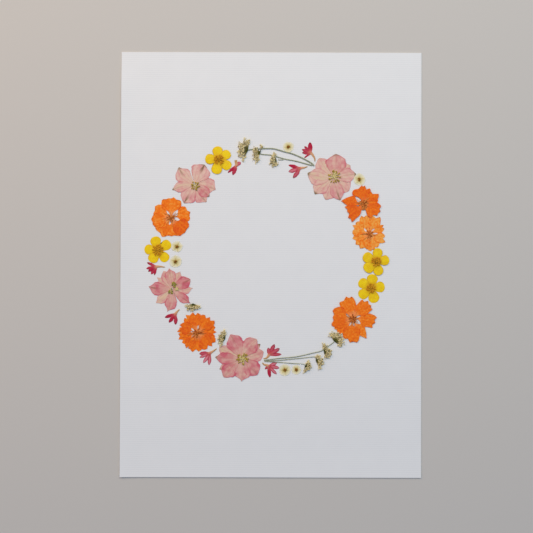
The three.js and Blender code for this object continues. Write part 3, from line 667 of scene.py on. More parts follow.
# Red florets: the throat, the end and width of each lobe with how pink it is, the stalk's route, and
# half the width of its end where that is not the usual one
redFlorets = {
    "top_left": ((-23.9, 68.6), [
        (-30.3, 64, 2.0, 0.0), (-26.9, 62.4, 2.8, 0.1), (-21.4, 71.4, 2.6, 0.6)
    ], [(-24.3, 70.0), (-24.6, 71.4), (-24.9, 72.8)], 0.9),
    "top_right": ((26.4, 79), [
        (27, 85.5, 3.2, 0.0), (23.2, 82.7, 2.1, 0.1), (21.5, 80.5, 2.2, 0.2),
        (21.6, 78.2, 2.4, 0.2), (23, 74.5, 1.2, 0.0)
    ], [(28.4, 77.4), (30.2, 74.6), (30.6, 72.2)]),
    "top_middle": ((19, 67), [
        (12.1, 69.5, 2.4, 0.0), (12.1, 64.8, 2.9, 0.7), (15.4, 60.4, 2.9, 0.4)
    ], [(21.4, 67.5), (23.4, 67.8), (25.3, 68.5)]),
    "bottom_upper": ((-0.6, -62), [
        (-1.6, -58.2, 2.5, 0.4), (2.7, -55.8, 2.9, 0.3), (6.2, -58.7, 2.9, 0.4), (7.5, -62.8, 2.3, 0.3)
    ], [(-1.7, -64), (-3, -65.4), (-5, -65.9)]),
    "bottom_lower": ((-0.8, -71.6), [
        (4.4, -68.7, 2.3, 0.8), (6, -72.3, 2.6, 0.7), (4.2, -76.6, 2.2, 0.7),
        (-0.4, -78.9, 2.6, 0.0), (-3.9, -73.2, 1.6, 0.2)
    ], [(-2.4, -70.6), (-4.6, -69.9), (-5.8, -68.7)]),
    "lower_left": ((-43.6, -62.9), [
        (-49.8, -62.6, 3, 0.3), (-49.6, -65.2, 2, 0.8), (-47, -68.9, 2.4, 1.0), (-43, -70.5, 2.4, 0.8)
    ], [(-41.4, -61.5), (-39.6, -60.4), (-37.7, -58.9)]),
    "left_lower": ((-67, -35.6), [
        (-74, -37.3, 2.4, 0.0), (-71.1, -40.8, 2.6, 0.0), (-66.5, -42.3, 2.6, 0.1)
    ], [(-66, -34), (-65, -32.8), (-63.8, -31.7)]),
    "left": ((-81.4, -2.2), [
        (-86.6, 1.1, 2, 0.1), (-87.1, -3.2, 2.2, 0.1), (-85.8, -5.2, 2.2, 0.0),
        (-83.7, -7.2, 2.4, 0.1), (-81.4, -7.8, 1.6, 0.0)
    ], [(-79.2, -1.8), (-77, -1.8), (-74.2, -2.2)]),
}
redTube = {"throatHalf": 1.3, "endHalf": 0.3, "lobesFrom": 0.6, "rows": 14, "throatAlong": 0.45,
           "lobeOverlap": 0.12, "lobeSpan": 1.12, "taper": 0.75, "swell": 0.25, "thickness": 0.3}


def larkspurSheets(flower, seed):
    form = petalForms["larkspur"]
    at = np.array(flower["at"])
    sheets = []
    for i, petal in enumerate(flower["petals"]):
        axis, width, tipAngle, reach, layer, tone, straw, rib, tip, point = petal
        spots, t, s = leafSpots(at, at + polar(axis, reach * form["widest"]), at + polar(tipAngle, reach),
                                width * form["broaden"], form, seed + i, min(point + form["sharpen"], 1))
        sheets.append(layPetal(spots, t, s, form, seed + i, layer, marks=(tone, straw, tip), rib=rib))
    return sheets


# Half widths of a petal's claw, left and right: narrow at a gap, else up to its neighbour
def clawHalves(flower, axis):
    halves = []
    for hand in (1, -1):
        away = [(other[0] - axis) * hand % 360 for other in flower["petals"]]
        turn = min(angle for angle in away if angle > 1) / 2
        gaps = [((angle - axis) * hand % 360, half) for angle, half in flower["gaps"]]
        gap = [(angle, half) for angle, half in gaps if angle < turn * 2]
        reach = cosmosForm["clawReach"]
        if gap:
            angle = math.radians(min(gap[0][0], cosmosForm["gapTurn"]))
            halves.append(max(reach * math.sin(angle) - gap[0][1], cosmosForm["clawLeast"]))
        else:
            angle = math.radians(min(turn + cosmosForm["clawOverlap"], cosmosForm["clawTurn"]))
            halves.append(min(reach * math.tan(angle), cosmosForm["clawMost"]))
    return halves


def cosmosSheets(flower, seed):
    sheets = []
    form = petalForms["cosmos"]
    for i, (axis, width, layer, tone, *teeth) in enumerate(flower["petals"]):
        reach = max(tooth[1] for tooth in teeth)
        left = polar(axis + 90, 1)

        def flank(out, leftHalf, rightHalf):
            return polar(axis, out) + left * leftHalf, polar(axis, out) - left * rightHalf

        half = cosmosForm["shoulderHalf"] * width
        shoulder = cosmosForm["shoulder"] * reach
        if len(teeth) == 1:  # a petal with one tooth tapers to it from low down
            lowest = cosmosForm["bellyReach"] + cosmosForm["shoulderStep"]
            shoulder = max(cosmosForm["pointedShoulder"] * reach, lowest)
        shoulders = flank(shoulder, half, half)
        edge = [shoulders[0], (shoulders[0] + polar(*teeth[0])) / 2 * cosmosForm["round"]]
        for k, (angle, length) in enumerate(teeth):
            if k:
                lastAngle, lastLength = teeth[k - 1]
                edge.append(polar((angle + lastAngle) / 2, min(length, lastLength) - flower["notch"]))
            edge.append(polar(angle, length))
        edge += [(shoulders[1] + polar(*teeth[-1])) / 2 * cosmosForm["round"], shoulders[1]]
        s = np.linspace(1, -1, (len(edge) - 1) * cosmosForm["columnsPerTooth"] + 1)
        steps = np.linspace(0, len(edge) - 1, len(s))
        ends = np.stack([np.interp(steps, range(len(edge)), [p[k] for p in edge]) for k in range(2)],
                        axis=1)
        across = (1 - s)[:, None] / 2
        belly = cosmosForm["belly"] * width
        stations = [flank(cosmosForm["base"], form["claw"], form["claw"]),
                    flank(cosmosForm["clawReach"], *clawHalves(flower, axis)),
                    flank(cosmosForm["bellyReach"], belly, belly)]
        lines = [start * (1 - across) + end * across for start, end in stations]
        spots = splinePoints([*lines, ends], form["rows"])
        shares = [0, cosmosForm["clawReach"] / reach, cosmosForm["bellyReach"] / reach, 1]
        t = np.interp(np.linspace(0, 3, form["rows"]), range(4), shares)
        marks = (tone, flower["claw"], cosmosForm["scorch"])
        spots = spots + np.array(flower["at"])
        sheets.append(layPetal(spots, t, s, form, seed + i, layer, flower["lift"], marks))
    return sheets


def buttercupSheets(flower, seed):
    form = petalForms["buttercup"]
    at = np.array(flower["at"])
    sheets = []
    for i, (axis, width, length) in enumerate(flower["petals"]):
        spots, t, s = leafSpots(at, at + polar(axis, length * bendShare), at + polar(axis, length), width,
                                form, seed + i)
        sheets.append(layPetal(spots, t, s, form, seed + i, i % 3, flower["lift"]))
    return sheets


def sepalSheets(flower, seed):
    form = petalForms["sepal"]
    at = np.array(flower["at"])
    sheets = []
    for i, angle in enumerate(flower["sepals"]):
        base, bend, tip = (at + polar(angle, sepalForm[name]) for name in ("base", "bend", "tip"))
        spots, t, s = leafSpots(base, bend, tip, sepalForm["width"], form, seed + i)
        sheets.append(layPetal(spots, t, s, form, seed + i))
    return sheets


def creamSheets(flower, seed):
    (x, y), reach, petals, turn = flower
    form = petalForms["cream"]
    rng = np.random.RandomState(seed)
    at = np.array([x, y])
    sheets = []
    for i in range(petals):
        angle = turn + i * 360 / petals + rng.uniform(-5, 5)
        length = reach * rng.uniform(0.92, 1.05)
        width = 2.1 * reach * math.sin(math.pi / petals) * rng.uniform(0.9, 1.05)
        spots, t, s = leafSpots(at, at + polar(angle, length * bendShare), at + polar(angle, length), width,
                                form, seed + i)
        sheets.append(layPetal(spots, t, s, form, seed + i, i % 3 + 0.5 * (i == petals - 1)))
    return sheets


def redSheets(flower, seed):
    throat, lobes, stalk, *wide = flower
    endHalf = wide[0] if wide else redTube["endHalf"]
    form = petalForms["red"]
    route = splinePoints([throat, *stalk], redTube["rows"])
    start = route[0] + (np.array(stalk[0]) - route[0]) * redTube["lobesFrom"]
    sheets = []
    for i, (x, y, width, pink) in enumerate(lobes):
        tip = np.array([x, y])
        spots, t, s = leafSpots(start, (start + tip) / 2, tip, width, form, seed + i)
        sheet = layPetal(spots, t, s, form, seed + i, 0.8 * (i % 3), marks=(pink, 0, 0))
        span = redTube["lobeSpan"] - redTube["throatAlong"]
        sheet["along"] = redTube["throatAlong"] - redTube["lobeOverlap"] + span * t
        sheets.append(sheet)
    run = np.gradient(route, axis=0)
    run /= np.linalg.norm(run, axis=1)[:, None]
    side = np.stack([-run[:, 1], run[:, 0]], axis=1)
    t = np.linspace(0, 1, len(route))
    half = redTube["throatHalf"] + (endHalf - redTube["throatHalf"]) * t ** redTube["taper"]
    s = np.linspace(1, -1, form["columns"])
    spots = route[:, None] + side[:, None] * (half[:, None] * s)[..., None]
    tube = layPetal(spots, t, s, form, seed + 20, 1.5)
    tube["tops"] = tube["tops"] + redTube["swell"] * (1 - s ** 2) * (1 - 0.5 * t[:, None])
    tube["thickness"] = redTube["thickness"]
    tube["along"] = redTube["throatAlong"] * (1 - t)
    sheets.append(tube)
    return sheets


def splinePoints(places, count):  # an even run of points on a smooth curve through the given ones
    places = np.array(places, float)
    ends = np.concatenate([[2 * places[0] - places[1]], places, [2 * places[-1] - places[-2]]])
    steps = np.linspace(0, len(places) - 1, count)
    curve = []
    for step in steps:
        i = min(int(step), len(places) - 2)
        u = step - i
        a, b, c, d = ends[i:i + 4]
        curve.append(0.5 * (2 * b + (c - a) * u + (2 * a - 5 * b + 4 * c - d) * u ** 2
                            + (3 * b - a - 3 * c + d) * u ** 3))
    return np.array(curve)


def outline(sheet):
    spots = sheet["spots"]
    return np.concatenate([spots[:, 0], spots[-1, 1:-1], spots[::-1, -1]])


def inside(points, edge):  # which points lie within a closed outline
    x, y = points[:, 0, None], points[:, 1, None]
    x0, y0 = edge[:, 0], edge[:, 1]
    x1, y1 = np.roll(x0, -1), np.roll(y0, -1)
    rise = np.where(y1 == y0, 1e-9, y1 - y0)
    crossed = ((y0 > y) != (y1 > y)) & (x < (x1 - x0) * (y - y0) / rise + x0)
    return crossed.sum(axis=1) % 2 == 1


def countLayers(groups):
    sheets = [sheet for group in groups for sheet in group]
    edges = [outline(sheet) for sheet in sheets]
    boxes = [(edge.min(axis=0), edge.max(axis=0)) for edge in edges]
    for i, sheet in enumerate(sheets):
        points = sheet["spots"].reshape(-1, 2)
        for j, edge in enumerate(edges):
            if j != i and (boxes[i][0] < boxes[j][1]).all() and (boxes[j][0] < boxes[i][1]).all():
                lower = sheets[j]["tops"].mean() < sheet["tops"].mean()
                sheet["under"] += lower * inside(points, edge).reshape(sheet["under"].shape)


kinds = (
    ("larkspur", larkspurs, larkspurSheets, 100, "larkspur_petal", "_petals"),
    ("cosmos", cosmos, cosmosSheets, 300, "cosmos_petal", "_petals"),
    ("buttercup", buttercups, buttercupSheets, 500, "buttercup_petal", "_petals"),
    ("cream_flower", creamFlowers, creamSheets, 700, "cream_flower", None),
    ("red_floret", redFlorets, redSheets, 900, "red_floret", ""),
)
sheetsOf = {}
for kind, flowers, makeSheets, seed, *_ in kinds:
    for i, (place, flower) in enumerate(flowers.items()):
        sheetsOf[kind, place] = makeSheets(flower, seed + 30 * i)
countLayers(list(sheetsOf.values()))
print("petals:", sum(len(sheets) for sheets in sheetsOf.values()))

petalMaterial = {"larkspur": "larkspur", "cosmos": "cosmos", "buttercup": "buttercup", "red_floret": "red"}
for kind, flowers, _, _, slot, ending in kinds:
    for place, flower in flowers.items():
        if ending is None:
            continue  # the cream flowers are made with their eyes, below
        shell = newShell()
        for sheet in sheetsOf[kind, place]:
            addSheet(shell, sheet)
        node = f"{kind}_{place}{ending}"
        shellPiece(node + "_pressed", shell, materials[petalMaterial[kind]], slot, node)


# Geometry Nodes
def newTree(name, inputs):
    tree = bpy.data.node_groups.new(name, "GeometryNodeTree")
    tree.interface.new_socket("Geometry", in_out="INPUT", socket_type="NodeSocketGeometry")
    for label, kind in inputs:
        tree.interface.new_socket(label, in_out="INPUT", socket_type="NodeSocket" + kind)
    tree.interface.new_socket("Geometry", in_out="OUTPUT", socket_type="NodeSocketGeometry")
    return tree, tree.nodes.new("NodeGroupInput").outputs


# A tuft of stamens: stalks run out from its middle, each with a head, spread evenly like seeds in a disc
def makeTuftTree():
    tree, given = newTree("stamenTuft", (
        ("Centre", "Vector"), ("Count", "Int"), ("Inner Reach", "Float"), ("Outer Reach", "Float"),
        ("Stalk Width", "Float"),
        ("Head Size", "Float"), ("Head Length", "Float"), ("Lift", "Float"), ("Seed", "Int"),
        ("Stalk", "Material"), ("Head", "Material")))
    index = addNode(tree, "GeometryNodeInputIndex")
    jitter = vary(tree, -0.5, 0.5, index, given["Seed"])
    angle = maths(tree, "MULTIPLY_ADD", index, math.radians(137.508), jitter)
    rank = maths(tree, "ADD", index, 0.5)
    rank = maths(tree, "DIVIDE", rank, given["Count"])
    rank = maths(tree, "POWER", rank, 0.5)
    rank = maths(tree, "MULTIPLY_ADD", jitter, 0.2, rank, clamp=True)
    reach = spread(tree, rank, 0.0, 1.0, given["Inner Reach"], given["Outer Reach"])
    east = maths(tree, "COSINE", angle)
    north = maths(tree, "SINE", angle)
    way = addNode(tree, "ShaderNodeCombineXYZ", {0: east, 1: north})
    way = addNode(tree, "ShaderNodeVectorMath", {0: way, "Scale": reach}, operation="SCALE")
    rise = vary(tree, 0.35, 1.0, index, given["Seed"])
    rise = maths(tree, "MULTIPLY", rise, given["Lift"])
    top = addNode(tree, "ShaderNodeCombineXYZ", {2: rise})
    spot = vectors(tree, "ADD", given["Centre"], way)
    spot = vectors(tree, "ADD", spot, top)
    turn = addNode(tree, "ShaderNodeCombineXYZ", {2: angle})
    turn = addNode(tree, "FunctionNodeEulerToRotation", {0: turn})
    flat = maths(tree, "MULTIPLY", given["Head Size"], 0.55)
    headScale = addNode(tree, "ShaderNodeCombineXYZ",
                        {0: given["Head Length"], 1: given["Head Size"], 2: flat})
    head = addNode(tree, "GeometryNodeMeshIcoSphere", {"Radius": 0.5, "Subdivisions": 2})
    points = addNode(tree, "GeometryNodePoints", {"Count": given["Count"], "Position": spot})
    heads = addNode(tree, "GeometryNodeInstanceOnPoints",
                    {"Points": points, "Instance": head, "Rotation": turn, "Scale": headScale})
    heads = addNode(tree, "GeometryNodeRealizeInstances", {"Geometry": heads})
    heads = addNode(tree, "GeometryNodeSetMaterial", {"Geometry": heads, "Material": given["Head"]})
    stick = addNode(tree, "GeometryNodeMeshCube", {"Size": (1, 1, 1)})
    stick = addNode(tree, "GeometryNodeTransform", {"Geometry": stick, "Translation": (0.5, 0, 0)})
    thin = addNode(tree, "ShaderNodeCombineXYZ",
                   {0: reach, 1: given["Stalk Width"], 2: given["Stalk Width"]})
    root = vectors(tree, "ADD", given["Centre"], top)
    roots = addNode(tree, "GeometryNodePoints", {"Count": given["Count"], "Position": root})
    stalks = addNode(tree, "GeometryNodeInstanceOnPoints",
                     {"Points": roots, "Instance": stick, "Rotation": turn, "Scale": thin})
    stalks = addNode(tree, "GeometryNodeRealizeInstances", {"Geometry": stalks})
    stalks = addNode(tree, "GeometryNodeSetMaterial", {"Geometry": stalks, "Material": given["Stalk"]})
    heads = addNode(tree, "GeometryNodeSetShadeSmooth", {"Geometry": heads})
    whole = addNode(tree, "GeometryNodeJoinGeometry", {0: given["Geometry"]})
    tree.links.new(heads, whole.node.inputs[0])
    tree.links.new(stalks, whole.node.inputs[0])
    addNode(tree, "NodeGroupOutput", {0: whole})
    return tree


# A stem: a tapering, flattened tube along the line it is given
def makeStemTree():
    tree, given = newTree("laceStemTube",
                          (("Width", "Float"), ("Taper", "Float"), ("Flatness", "Float"), ("Lift", "Float"),
                           ("Bark", "Material")))
    line = addNode(tree, "GeometryNodeMeshToCurve", {"Mesh": given["Geometry"]})
    along = addNode(tree, "GeometryNodeSplineParameter", out="Factor")
    half = maths(tree, "MULTIPLY", given["Width"], 0.5)
    ring = addNode(tree, "GeometryNodeCurvePrimitiveCircle", {"Resolution": 8, "Radius": half})
    size = spread(tree, along, 0.0, 1.0, 1.0, given["Taper"])
    tube = addNode(tree, "GeometryNodeCurveToMesh",
                   {"Curve": line, "Profile Curve": ring, "Scale": size, "Fill Caps": True})
    press = addNode(tree, "ShaderNodeCombineXYZ", {0: 1.0, 1: 1.0, 2: given["Flatness"]})
    spot = vectors(tree, "MULTIPLY", addNode(tree, "GeometryNodeInputPosition"), press)
    up = addNode(tree, "ShaderNodeCombineXYZ", {2: given["Lift"]})
    tube = addNode(tree, "GeometryNodeSetPosition", {"Geometry": tube, "Position": spot, "Offset": up})
    tube = addNode(tree, "GeometryNodeSetShadeSmooth", {"Geometry": tube})
    tube = addNode(tree, "GeometryNodeRealizeInstances", {"Geometry": tube})
    tube = addNode(tree, "GeometryNodeSetMaterial", {"Geometry": tube, "Material": given["Bark"]})
    addNode(tree, "NodeGroupOutput", {0: tube})
    return tree


# An umbel: rays along the lines it is given, and a cluster of star-shaped florets where a ray ends
def makeUmbelTree():
    tree, given = newTree("laceUmbel", (
        ("Ray Width", "Float"), ("Florets", "Int"), ("Spread", "Float"), ("Floret Size", "Float"),
        ("Seed Size", "Float"), ("Seed", "Int"),
        ("Ray", "Material"), ("Floret", "Material"), ("Seed Head", "Material")))
    line = addNode(tree, "GeometryNodeMeshToCurve", {"Mesh": given["Geometry"]})
    along = addNode(tree, "GeometryNodeSplineParameter", out="Factor")
    line = addNode(tree, "GeometryNodeStoreNamedAttribute",
                   {"Geometry": line, "Name": "rayShare", "Value": along}, data_type="FLOAT",
                   domain="POINT")
    half = maths(tree, "MULTIPLY", given["Ray Width"], 0.5)
    ring = addNode(tree, "GeometryNodeCurvePrimitiveCircle", {"Resolution": 5, "Radius": half})
    rays = addNode(tree, "GeometryNodeCurveToMesh",
                   {"Curve": line, "Profile Curve": ring, "Fill Caps": True})
    rays = addNode(tree, "GeometryNodeSetMaterial", {"Geometry": rays, "Material": given["Ray"]})
    isEnd = addNode(tree, "GeometryNodeInputNamedAttribute", {"Name": "rayEnd"}, data_type="FLOAT")
    ends = addNode(tree, "GeometryNodeMeshToPoints", {"Mesh": given["Geometry"], "Selection": isEnd})
    cluster = addNode(tree, "GeometryNodeDuplicateElements", {"Geometry": ends, "Amount": given["Florets"]},
                      domain="POINT")
    index = addNode(tree, "GeometryNodeInputIndex")
    seed = given["Seed"]
    offsets = addNode(tree, "FunctionNodeRandomValue",
                      {0: (-1, -1, 0), 1: (1, 1, 0.5), "ID": index, "Seed": seed}, data_type="FLOAT_VECTOR")
    offsets = addNode(tree, "ShaderNodeVectorMath", {0: offsets, "Scale": given["Spread"]},
                      operation="SCALE")
    cluster = addNode(tree, "GeometryNodeSetPosition", {"Geometry": cluster, "Offset": offsets})
    star = addNode(tree, "GeometryNodeMeshCone",
                   {"Vertices": 10, "Radius Top": 0.3, "Radius Bottom": 1.0, "Depth": 0.5},
                   fill_type="NGON")
    odd = maths(tree, "MODULO", index, 2.0)
    dent = spread(tree, odd, 0.0, 1.0, 1.0, 0.62)
    dented = addNode(tree, "ShaderNodeCombineXYZ", {0: dent, 1: dent, 2: 1.0})
    corner = vectors(tree, "MULTIPLY", addNode(tree, "GeometryNodeInputPosition"), dented)
    star = addNode(tree, "GeometryNodeSetPosition", {"Geometry": star, "Position": corner})
    tilt = addNode(tree, "FunctionNodeRandomValue",
                   {0: (-0.5, -0.5, 0), 1: (0.5, 0.5, 6.28), "ID": index, "Seed": seed},
                   data_type="FLOAT_VECTOR")
    size = vary(tree, 0.7, 1.25, index, seed)
    size = maths(tree, "MULTIPLY", size, given["Floret Size"])
    turn = addNode(tree, "FunctionNodeEulerToRotation", {0: tilt})
    florets = addNode(tree, "GeometryNodeInstanceOnPoints",
                      {"Points": cluster, "Instance": star, "Rotation": turn, "Scale": size})
    florets = addNode(tree, "GeometryNodeRealizeInstances", {"Geometry": florets})
    florets = addNode(tree, "GeometryNodeSetMaterial", {"Geometry": florets, "Material": given["Floret"]})
    dark = addNode(tree, "FunctionNodeRandomValue", {"Probability": 0.4, "ID": index, "Seed": seed}, out=3,
                   data_type="BOOLEAN")
    above = addNode(tree, "ShaderNodeCombineXYZ", {2: given["Floret Size"]})
    seeds = addNode(tree, "GeometryNodeSetPosition", {"Geometry": cluster, "Offset": above})
    bead = addNode(tree, "GeometryNodeMeshIcoSphere", {"Radius": given["Seed Size"], "Subdivisions": 1})
    seeds = addNode(tree, "GeometryNodeInstanceOnPoints",
                    {"Points": seeds, "Selection": dark, "Instance": bead})
    seeds = addNode(tree, "GeometryNodeRealizeInstances", {"Geometry": seeds})
    seeds = addNode(tree, "GeometryNodeSetMaterial", {"Geometry": seeds, "Material": given["Seed Head"]})
    whole = addNode(tree, "GeometryNodeJoinGeometry", {0: rays})
    tree.links.new(florets, whole.node.inputs[0])
    tree.links.new(seeds, whole.node.inputs[0])
    addNode(tree, "NodeGroupOutput", {0: whole})
    return tree


def growPiece(name, mesh, steps):  # runs the trees one after another and keeps the plain mesh
    piece = bpy.data.objects.new(name, mesh)
    bpy.context.scene.collection.objects.link(piece)
    for tree, values in steps:
        modifier = piece.modifiers.new(tree.name, "NODES")
        modifier.node_group = tree
        sockets = {item.name: item.identifier for item in tree.interface.items_tree if item.in_out == "INPUT"}
        for label, value in values.items():
            modifier[sockets[label]] = value
    scene = bpy.context.evaluated_depsgraph_get()
    grown = bpy.data.meshes.new_from_object(piece.evaluated_get(scene), preserve_all_data_layers=True,
        depsgraph=scene)
    piece.modifiers.clear()
    piece.data = grown
    grown.name = name
    return piece


tuftTree, stemTree, umbelTree = makeTuftTree(), makeStemTree(), makeUmbelTree()


def tuft(at, height, inner, outer, count, head, stalk, seed, headSize=0.75, headLength=1.0, stalkWidth=0.2,
         lift=0.5):
    return tuftTree, {
        "Centre": (at[0] * mm, at[1] * mm, (cardTop + height) * mm), "Count": count,
        "Inner Reach": inner * mm, "Outer Reach": outer * mm,
        "Stalk Width": stalkWidth * mm, "Head Size": headSize * mm, "Head Length": headLength * mm,
        "Lift": lift * mm, "Seed": seed,
        "Stalk": materials[stalk], "Head": materials[head],
    }


# Tufts: how high over the card they stand on the petals
tuftHeight = {"larkspur": 0.55, "cosmos": 0.45, "buttercup": 0.4, "cream": 0.35}

for i, (place, flower) in enumerate(larkspurs.items()):
    steps = []
    for k, ((x, y), inner, outer, count, head) in enumerate(flower["tufts"]):
        at = (flower["at"][0] + x, flower["at"][1] + y)
        steps.append(tuft(at, tuftHeight["larkspur"], inner, outer, count, head, "paleFilament", 10 * i + k,
                          headSize=0.95, headLength=1.3))
    node = f"larkspur_{place}_stamens"
    settle(growPiece(node + "_pressed", bpy.data.meshes.new(node), steps), "larkspur_stamen", node)

# Cosmos centres: reach and number of the florets, and the radius, shift and colour of the disc they stand on
cosmosCentre = {
    "left": (3.6, 11, 2.0, (0, 0), "rustDisc"), "lower_left": (4.4, 14, 2.5, (0, 0), "rustDisc"),
    "upper_right": (3.2, 12, 3.7, (0.2, -1.1), "rustDisc"), "right": (3.4, 9, 2.7, (0, 0), "apricotDisc"),
    "lower_right": (3.4, 20, 2.7, (0, 0), "rustDisc"),
}


def discSheet(at, radius, lift, seed):  # a ragged, slightly domed disc
    rng = np.random.RandomState(seed)
    count = cosmosForm["discPoints"]
    s = np.linspace(1, -1, count)
    t = np.linspace(-0.97, 0.97, count)
    edge = radius * (1 + cosmosForm["discRag"] * np.sin(np.arange(count) * 2.1 + rng.uniform(0, 6, count)))
    half = np.sqrt(1 - t ** 2)[:, None] * edge[:, None]
    spots = np.dstack([np.array(at)[0] + t[:, None] * radius + 0 * s, np.array(at)[1] + half * s])
    dome = cosmosForm["discHeight"] * (1 - (t ** 2)[:, None]) * (1 - s ** 2)
    tops = cosmosForm["discRest"] + lift + dome + cosmosForm["discCrumple"] * crumple(spots, rng)
    return {"spots": spots, "tops": tops, "along": t, "across": s, "marks": (0, 0, 0), "rib": 0,
            "under": tops * 0, "thickness": petalThickness}


for i, (place, flower) in enumerate(cosmos.items()):
    reach, count, radius, shift, disc = cosmosCentre[place]
    height = tuftHeight["cosmos"] + flower["lift"]
    steps = [tuft(flower["at"], height, inner=1.5, outer=reach + 2.4, count=18, head="orangeFilament",
                  stalk="orangeFilament", seed=40 + i, headSize=0.3, headLength=0.6, stalkWidth=0.26,
                  lift=0.2),
             tuft(flower["at"], height, inner=0.2, outer=reach * 0.8, count=count, head="rustAnther",
                  stalk="rustAnther", seed=50 + i, headSize=0.6, headLength=1.3)]
    node = f"cosmos_{place}_centre"
    shell = newShell()
    addSheet(shell, discSheet(np.add(flower["at"], shift), radius, flower["lift"], 340 + i))
    mesh = bpy.data.meshes.new(node)
    mesh.from_pydata((np.concatenate(shell["points"]) * mm).tolist(), [], shell["faces"])
    mesh.materials.append(materials[disc])
    settle(growPiece(node + "_pressed", mesh, steps), "cosmos_floret", node)

for i, (place, flower) in enumerate(buttercups.items()):
    height = tuftHeight["buttercup"] + flower["lift"]
    shell = newShell()
    steps = [tuft(flower["at"], height, inner=1.0, outer=flower["spread"], count=38, head="amberAnther",
                  stalk="goldStamen", seed=60 + i, headSize=0.7, headLength=1.1, stalkWidth=0.25, lift=0.4),
             tuft(flower["at"], height, inner=0.0, outer=1.3, count=14, head="umberCarpel",
                  stalk="goldStamen", seed=70 + i, headSize=0.6, headLength=0.6, lift=0.7)]
    node = f"buttercup_{place}_centre"
    for sheet in sepalSheets(flower, 640 + 10 * i):
        addSheet(shell, sheet)
    mesh = bpy.data.meshes.new(node)
    if shell["faces"]:
        mesh.from_pydata((np.concatenate(shell["points"]) * mm).tolist(), [], shell["faces"])
        mesh.materials.append(materials["brownSepal"])
    settle(growPiece(node + "_pressed", mesh, steps), "buttercup_centre", node)

for i, (place, flower) in enumerate(creamFlowers.items()):
    shell = newShell()
    for sheet in sheetsOf["cream_flower", place]:
        addSheet(shell, sheet)
    node = f"cream_flower_{place}"
    shellPiece(node + "_pressed", shell, materials["cream"], "cream_flower", node)
    eye = growPiece(node + "_eye", bpy.data.meshes.new(node), [
        tuft(flower[0], tuftHeight["cream"], inner=0.1, outer=1.05, count=16, head="goldenEye",
             stalk="goldenEye", seed=80 + i, headSize=0.5, headLength=0.6, stalkWidth=0.15, lift=0.4)])
    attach(eye, "root")
print("centres: larkspur, cosmos, buttercup, cream")

# Lace flower stems, from the cut end to the umbel they carry: route, width, lift over the card
laceStems = {
    "top_stem_upper": ([(30, 69), (27.9, 71), (22, 74.3), (15, 77.3), (9, 78.9), (2, 80.8), (-5.2, 81),
                        (-15, 80.2), (-16.8, 79.8)], 0.85, 0.6),
    "top_stem_lower": ([(28.6, 69.3), (27, 69.6), (18, 72.1), (10, 73.6), (4.6, 75.1), (0, 76.4),
                        (-6.4, 76.9), (-7.8, 77.6)], 0.8, 0.4),
    "top_branch": ([(8.6, 73.2), (6.5, 73.1), (4.9, 73.2)], 0.6, 0.4),
    "bottom_stem_upper": ([(-4.6, -66.9), (6, -65.5), (18, -64.3), (29, -61.8), (36, -60), (41, -56.4),
                           (43.3, -54.7), (44.4, -53.8)], 0.62, 0.6),
    "bottom_stem_middle": ([(-3.6, -67.4), (5.5, -67), (12, -66.3), (22, -65.3), (30.4, -64.4),
                            (31.5, -65.2)], 0.55, 0.45),
    "bottom_stem_lower": ([(-4.4, -67.6), (-0.6, -67.9), (8, -68.5), (16, -69.1), (22.6, -69.5),
                           (24, -70.3)], 0.55, 0.4),
}
for name, (route, width, lift) in laceStems.items():
    line = splinePoints(route, max(8, len(route) * 6))
    mesh = bpy.data.meshes.new(name)
    mesh.from_pydata([(x * mm, y * mm, 0) for x, y in line], [(k, k + 1) for k in range(len(line) - 1)], [])
    values = {"Width": width * mm, "Taper": 0.75, "Flatness": 0.6, "Lift": (cardTop + lift) * mm,
              "Bark": materials["laceStem"]}
    settle(growPiece(f"lace_{name}_pressed", mesh, [(stemTree, values)]), "lace_stem", f"lace_{name}")

# Lace umbels: where the rays meet, then the angle and reach of each ray
laceUmbels = {
    "top_umbel_left": ((-16.4, 79.6),
                       [(88, 7.6), (108, 9.2), (134, 8.6), (160, 7.6), (186, 7.6), (214, 8), (243, 8.6)]),
    "top_umbel_middle": ((-7.6, 78.6), [(80, 5.6), (146, 6), (176, 6), (204, 6.4), (228, 7.6), (250, 8.8)]),
    "top_umbel_right": ((3.4, 73.2),
                        [(112, 5.4), (150, 4.2), (184, 4.8), (214, 5.4), (244, 6.2), (276, 4.4)]),
    "bottom_umbel_right": ((44.4, -53.4),
                           [(-34, 6.6), (-10, 7.6), (16, 7.2), (44, 7.2), (70, 7), (96, 7.2), (124, 6.4)]),
    "bottom_umbel_upper": ((37.4, -61.3),
                           [(-66, 5.4), (-40, 5.6), (-12, 5.2), (16, 5.6), (42, 4.8), (72, 5.8),
                            (96, 6.8)]),
    "bottom_umbel_lower": ((31.6, -66.6),
                           [(-64, 7.2), (-44, 6.6), (-20, 6), (6, 5.2), (34, 4.6), (72, 4.2)]),
    "bottom_umbel_left": ((24, -70.9), [(-94, 5), (-48, 4.6), (-14, 4.6), (20, 4.8), (56, 5)]),
    "loose_umbel_left": ((-54.3, -27.6),
                         [(202, 6.5), (228, 6.2), (256, 5.4), (284, 5.2), (310, 5.8), (336, 6.2)]),
    "loose_umbel_lower": ((-31.8, -51.6),
                          [(92, 6), (124, 5.2), (156, 4.8), (184, 5.4), (212, 5.8), (236, 6.8)]),
}
umbelForm = {"rayWidth": 0.42, "florets": 5, "spread": 1.05, "floretSize": 0.6, "seedSize": 0.22,
             "height": 0.3, "rise": 0.5, "shortest": 0.66, "longest": 0.8, "tipTurn": 7, "bendTurn": 8,
             "betweenReach": 0.85, "betweenTurn": 45}
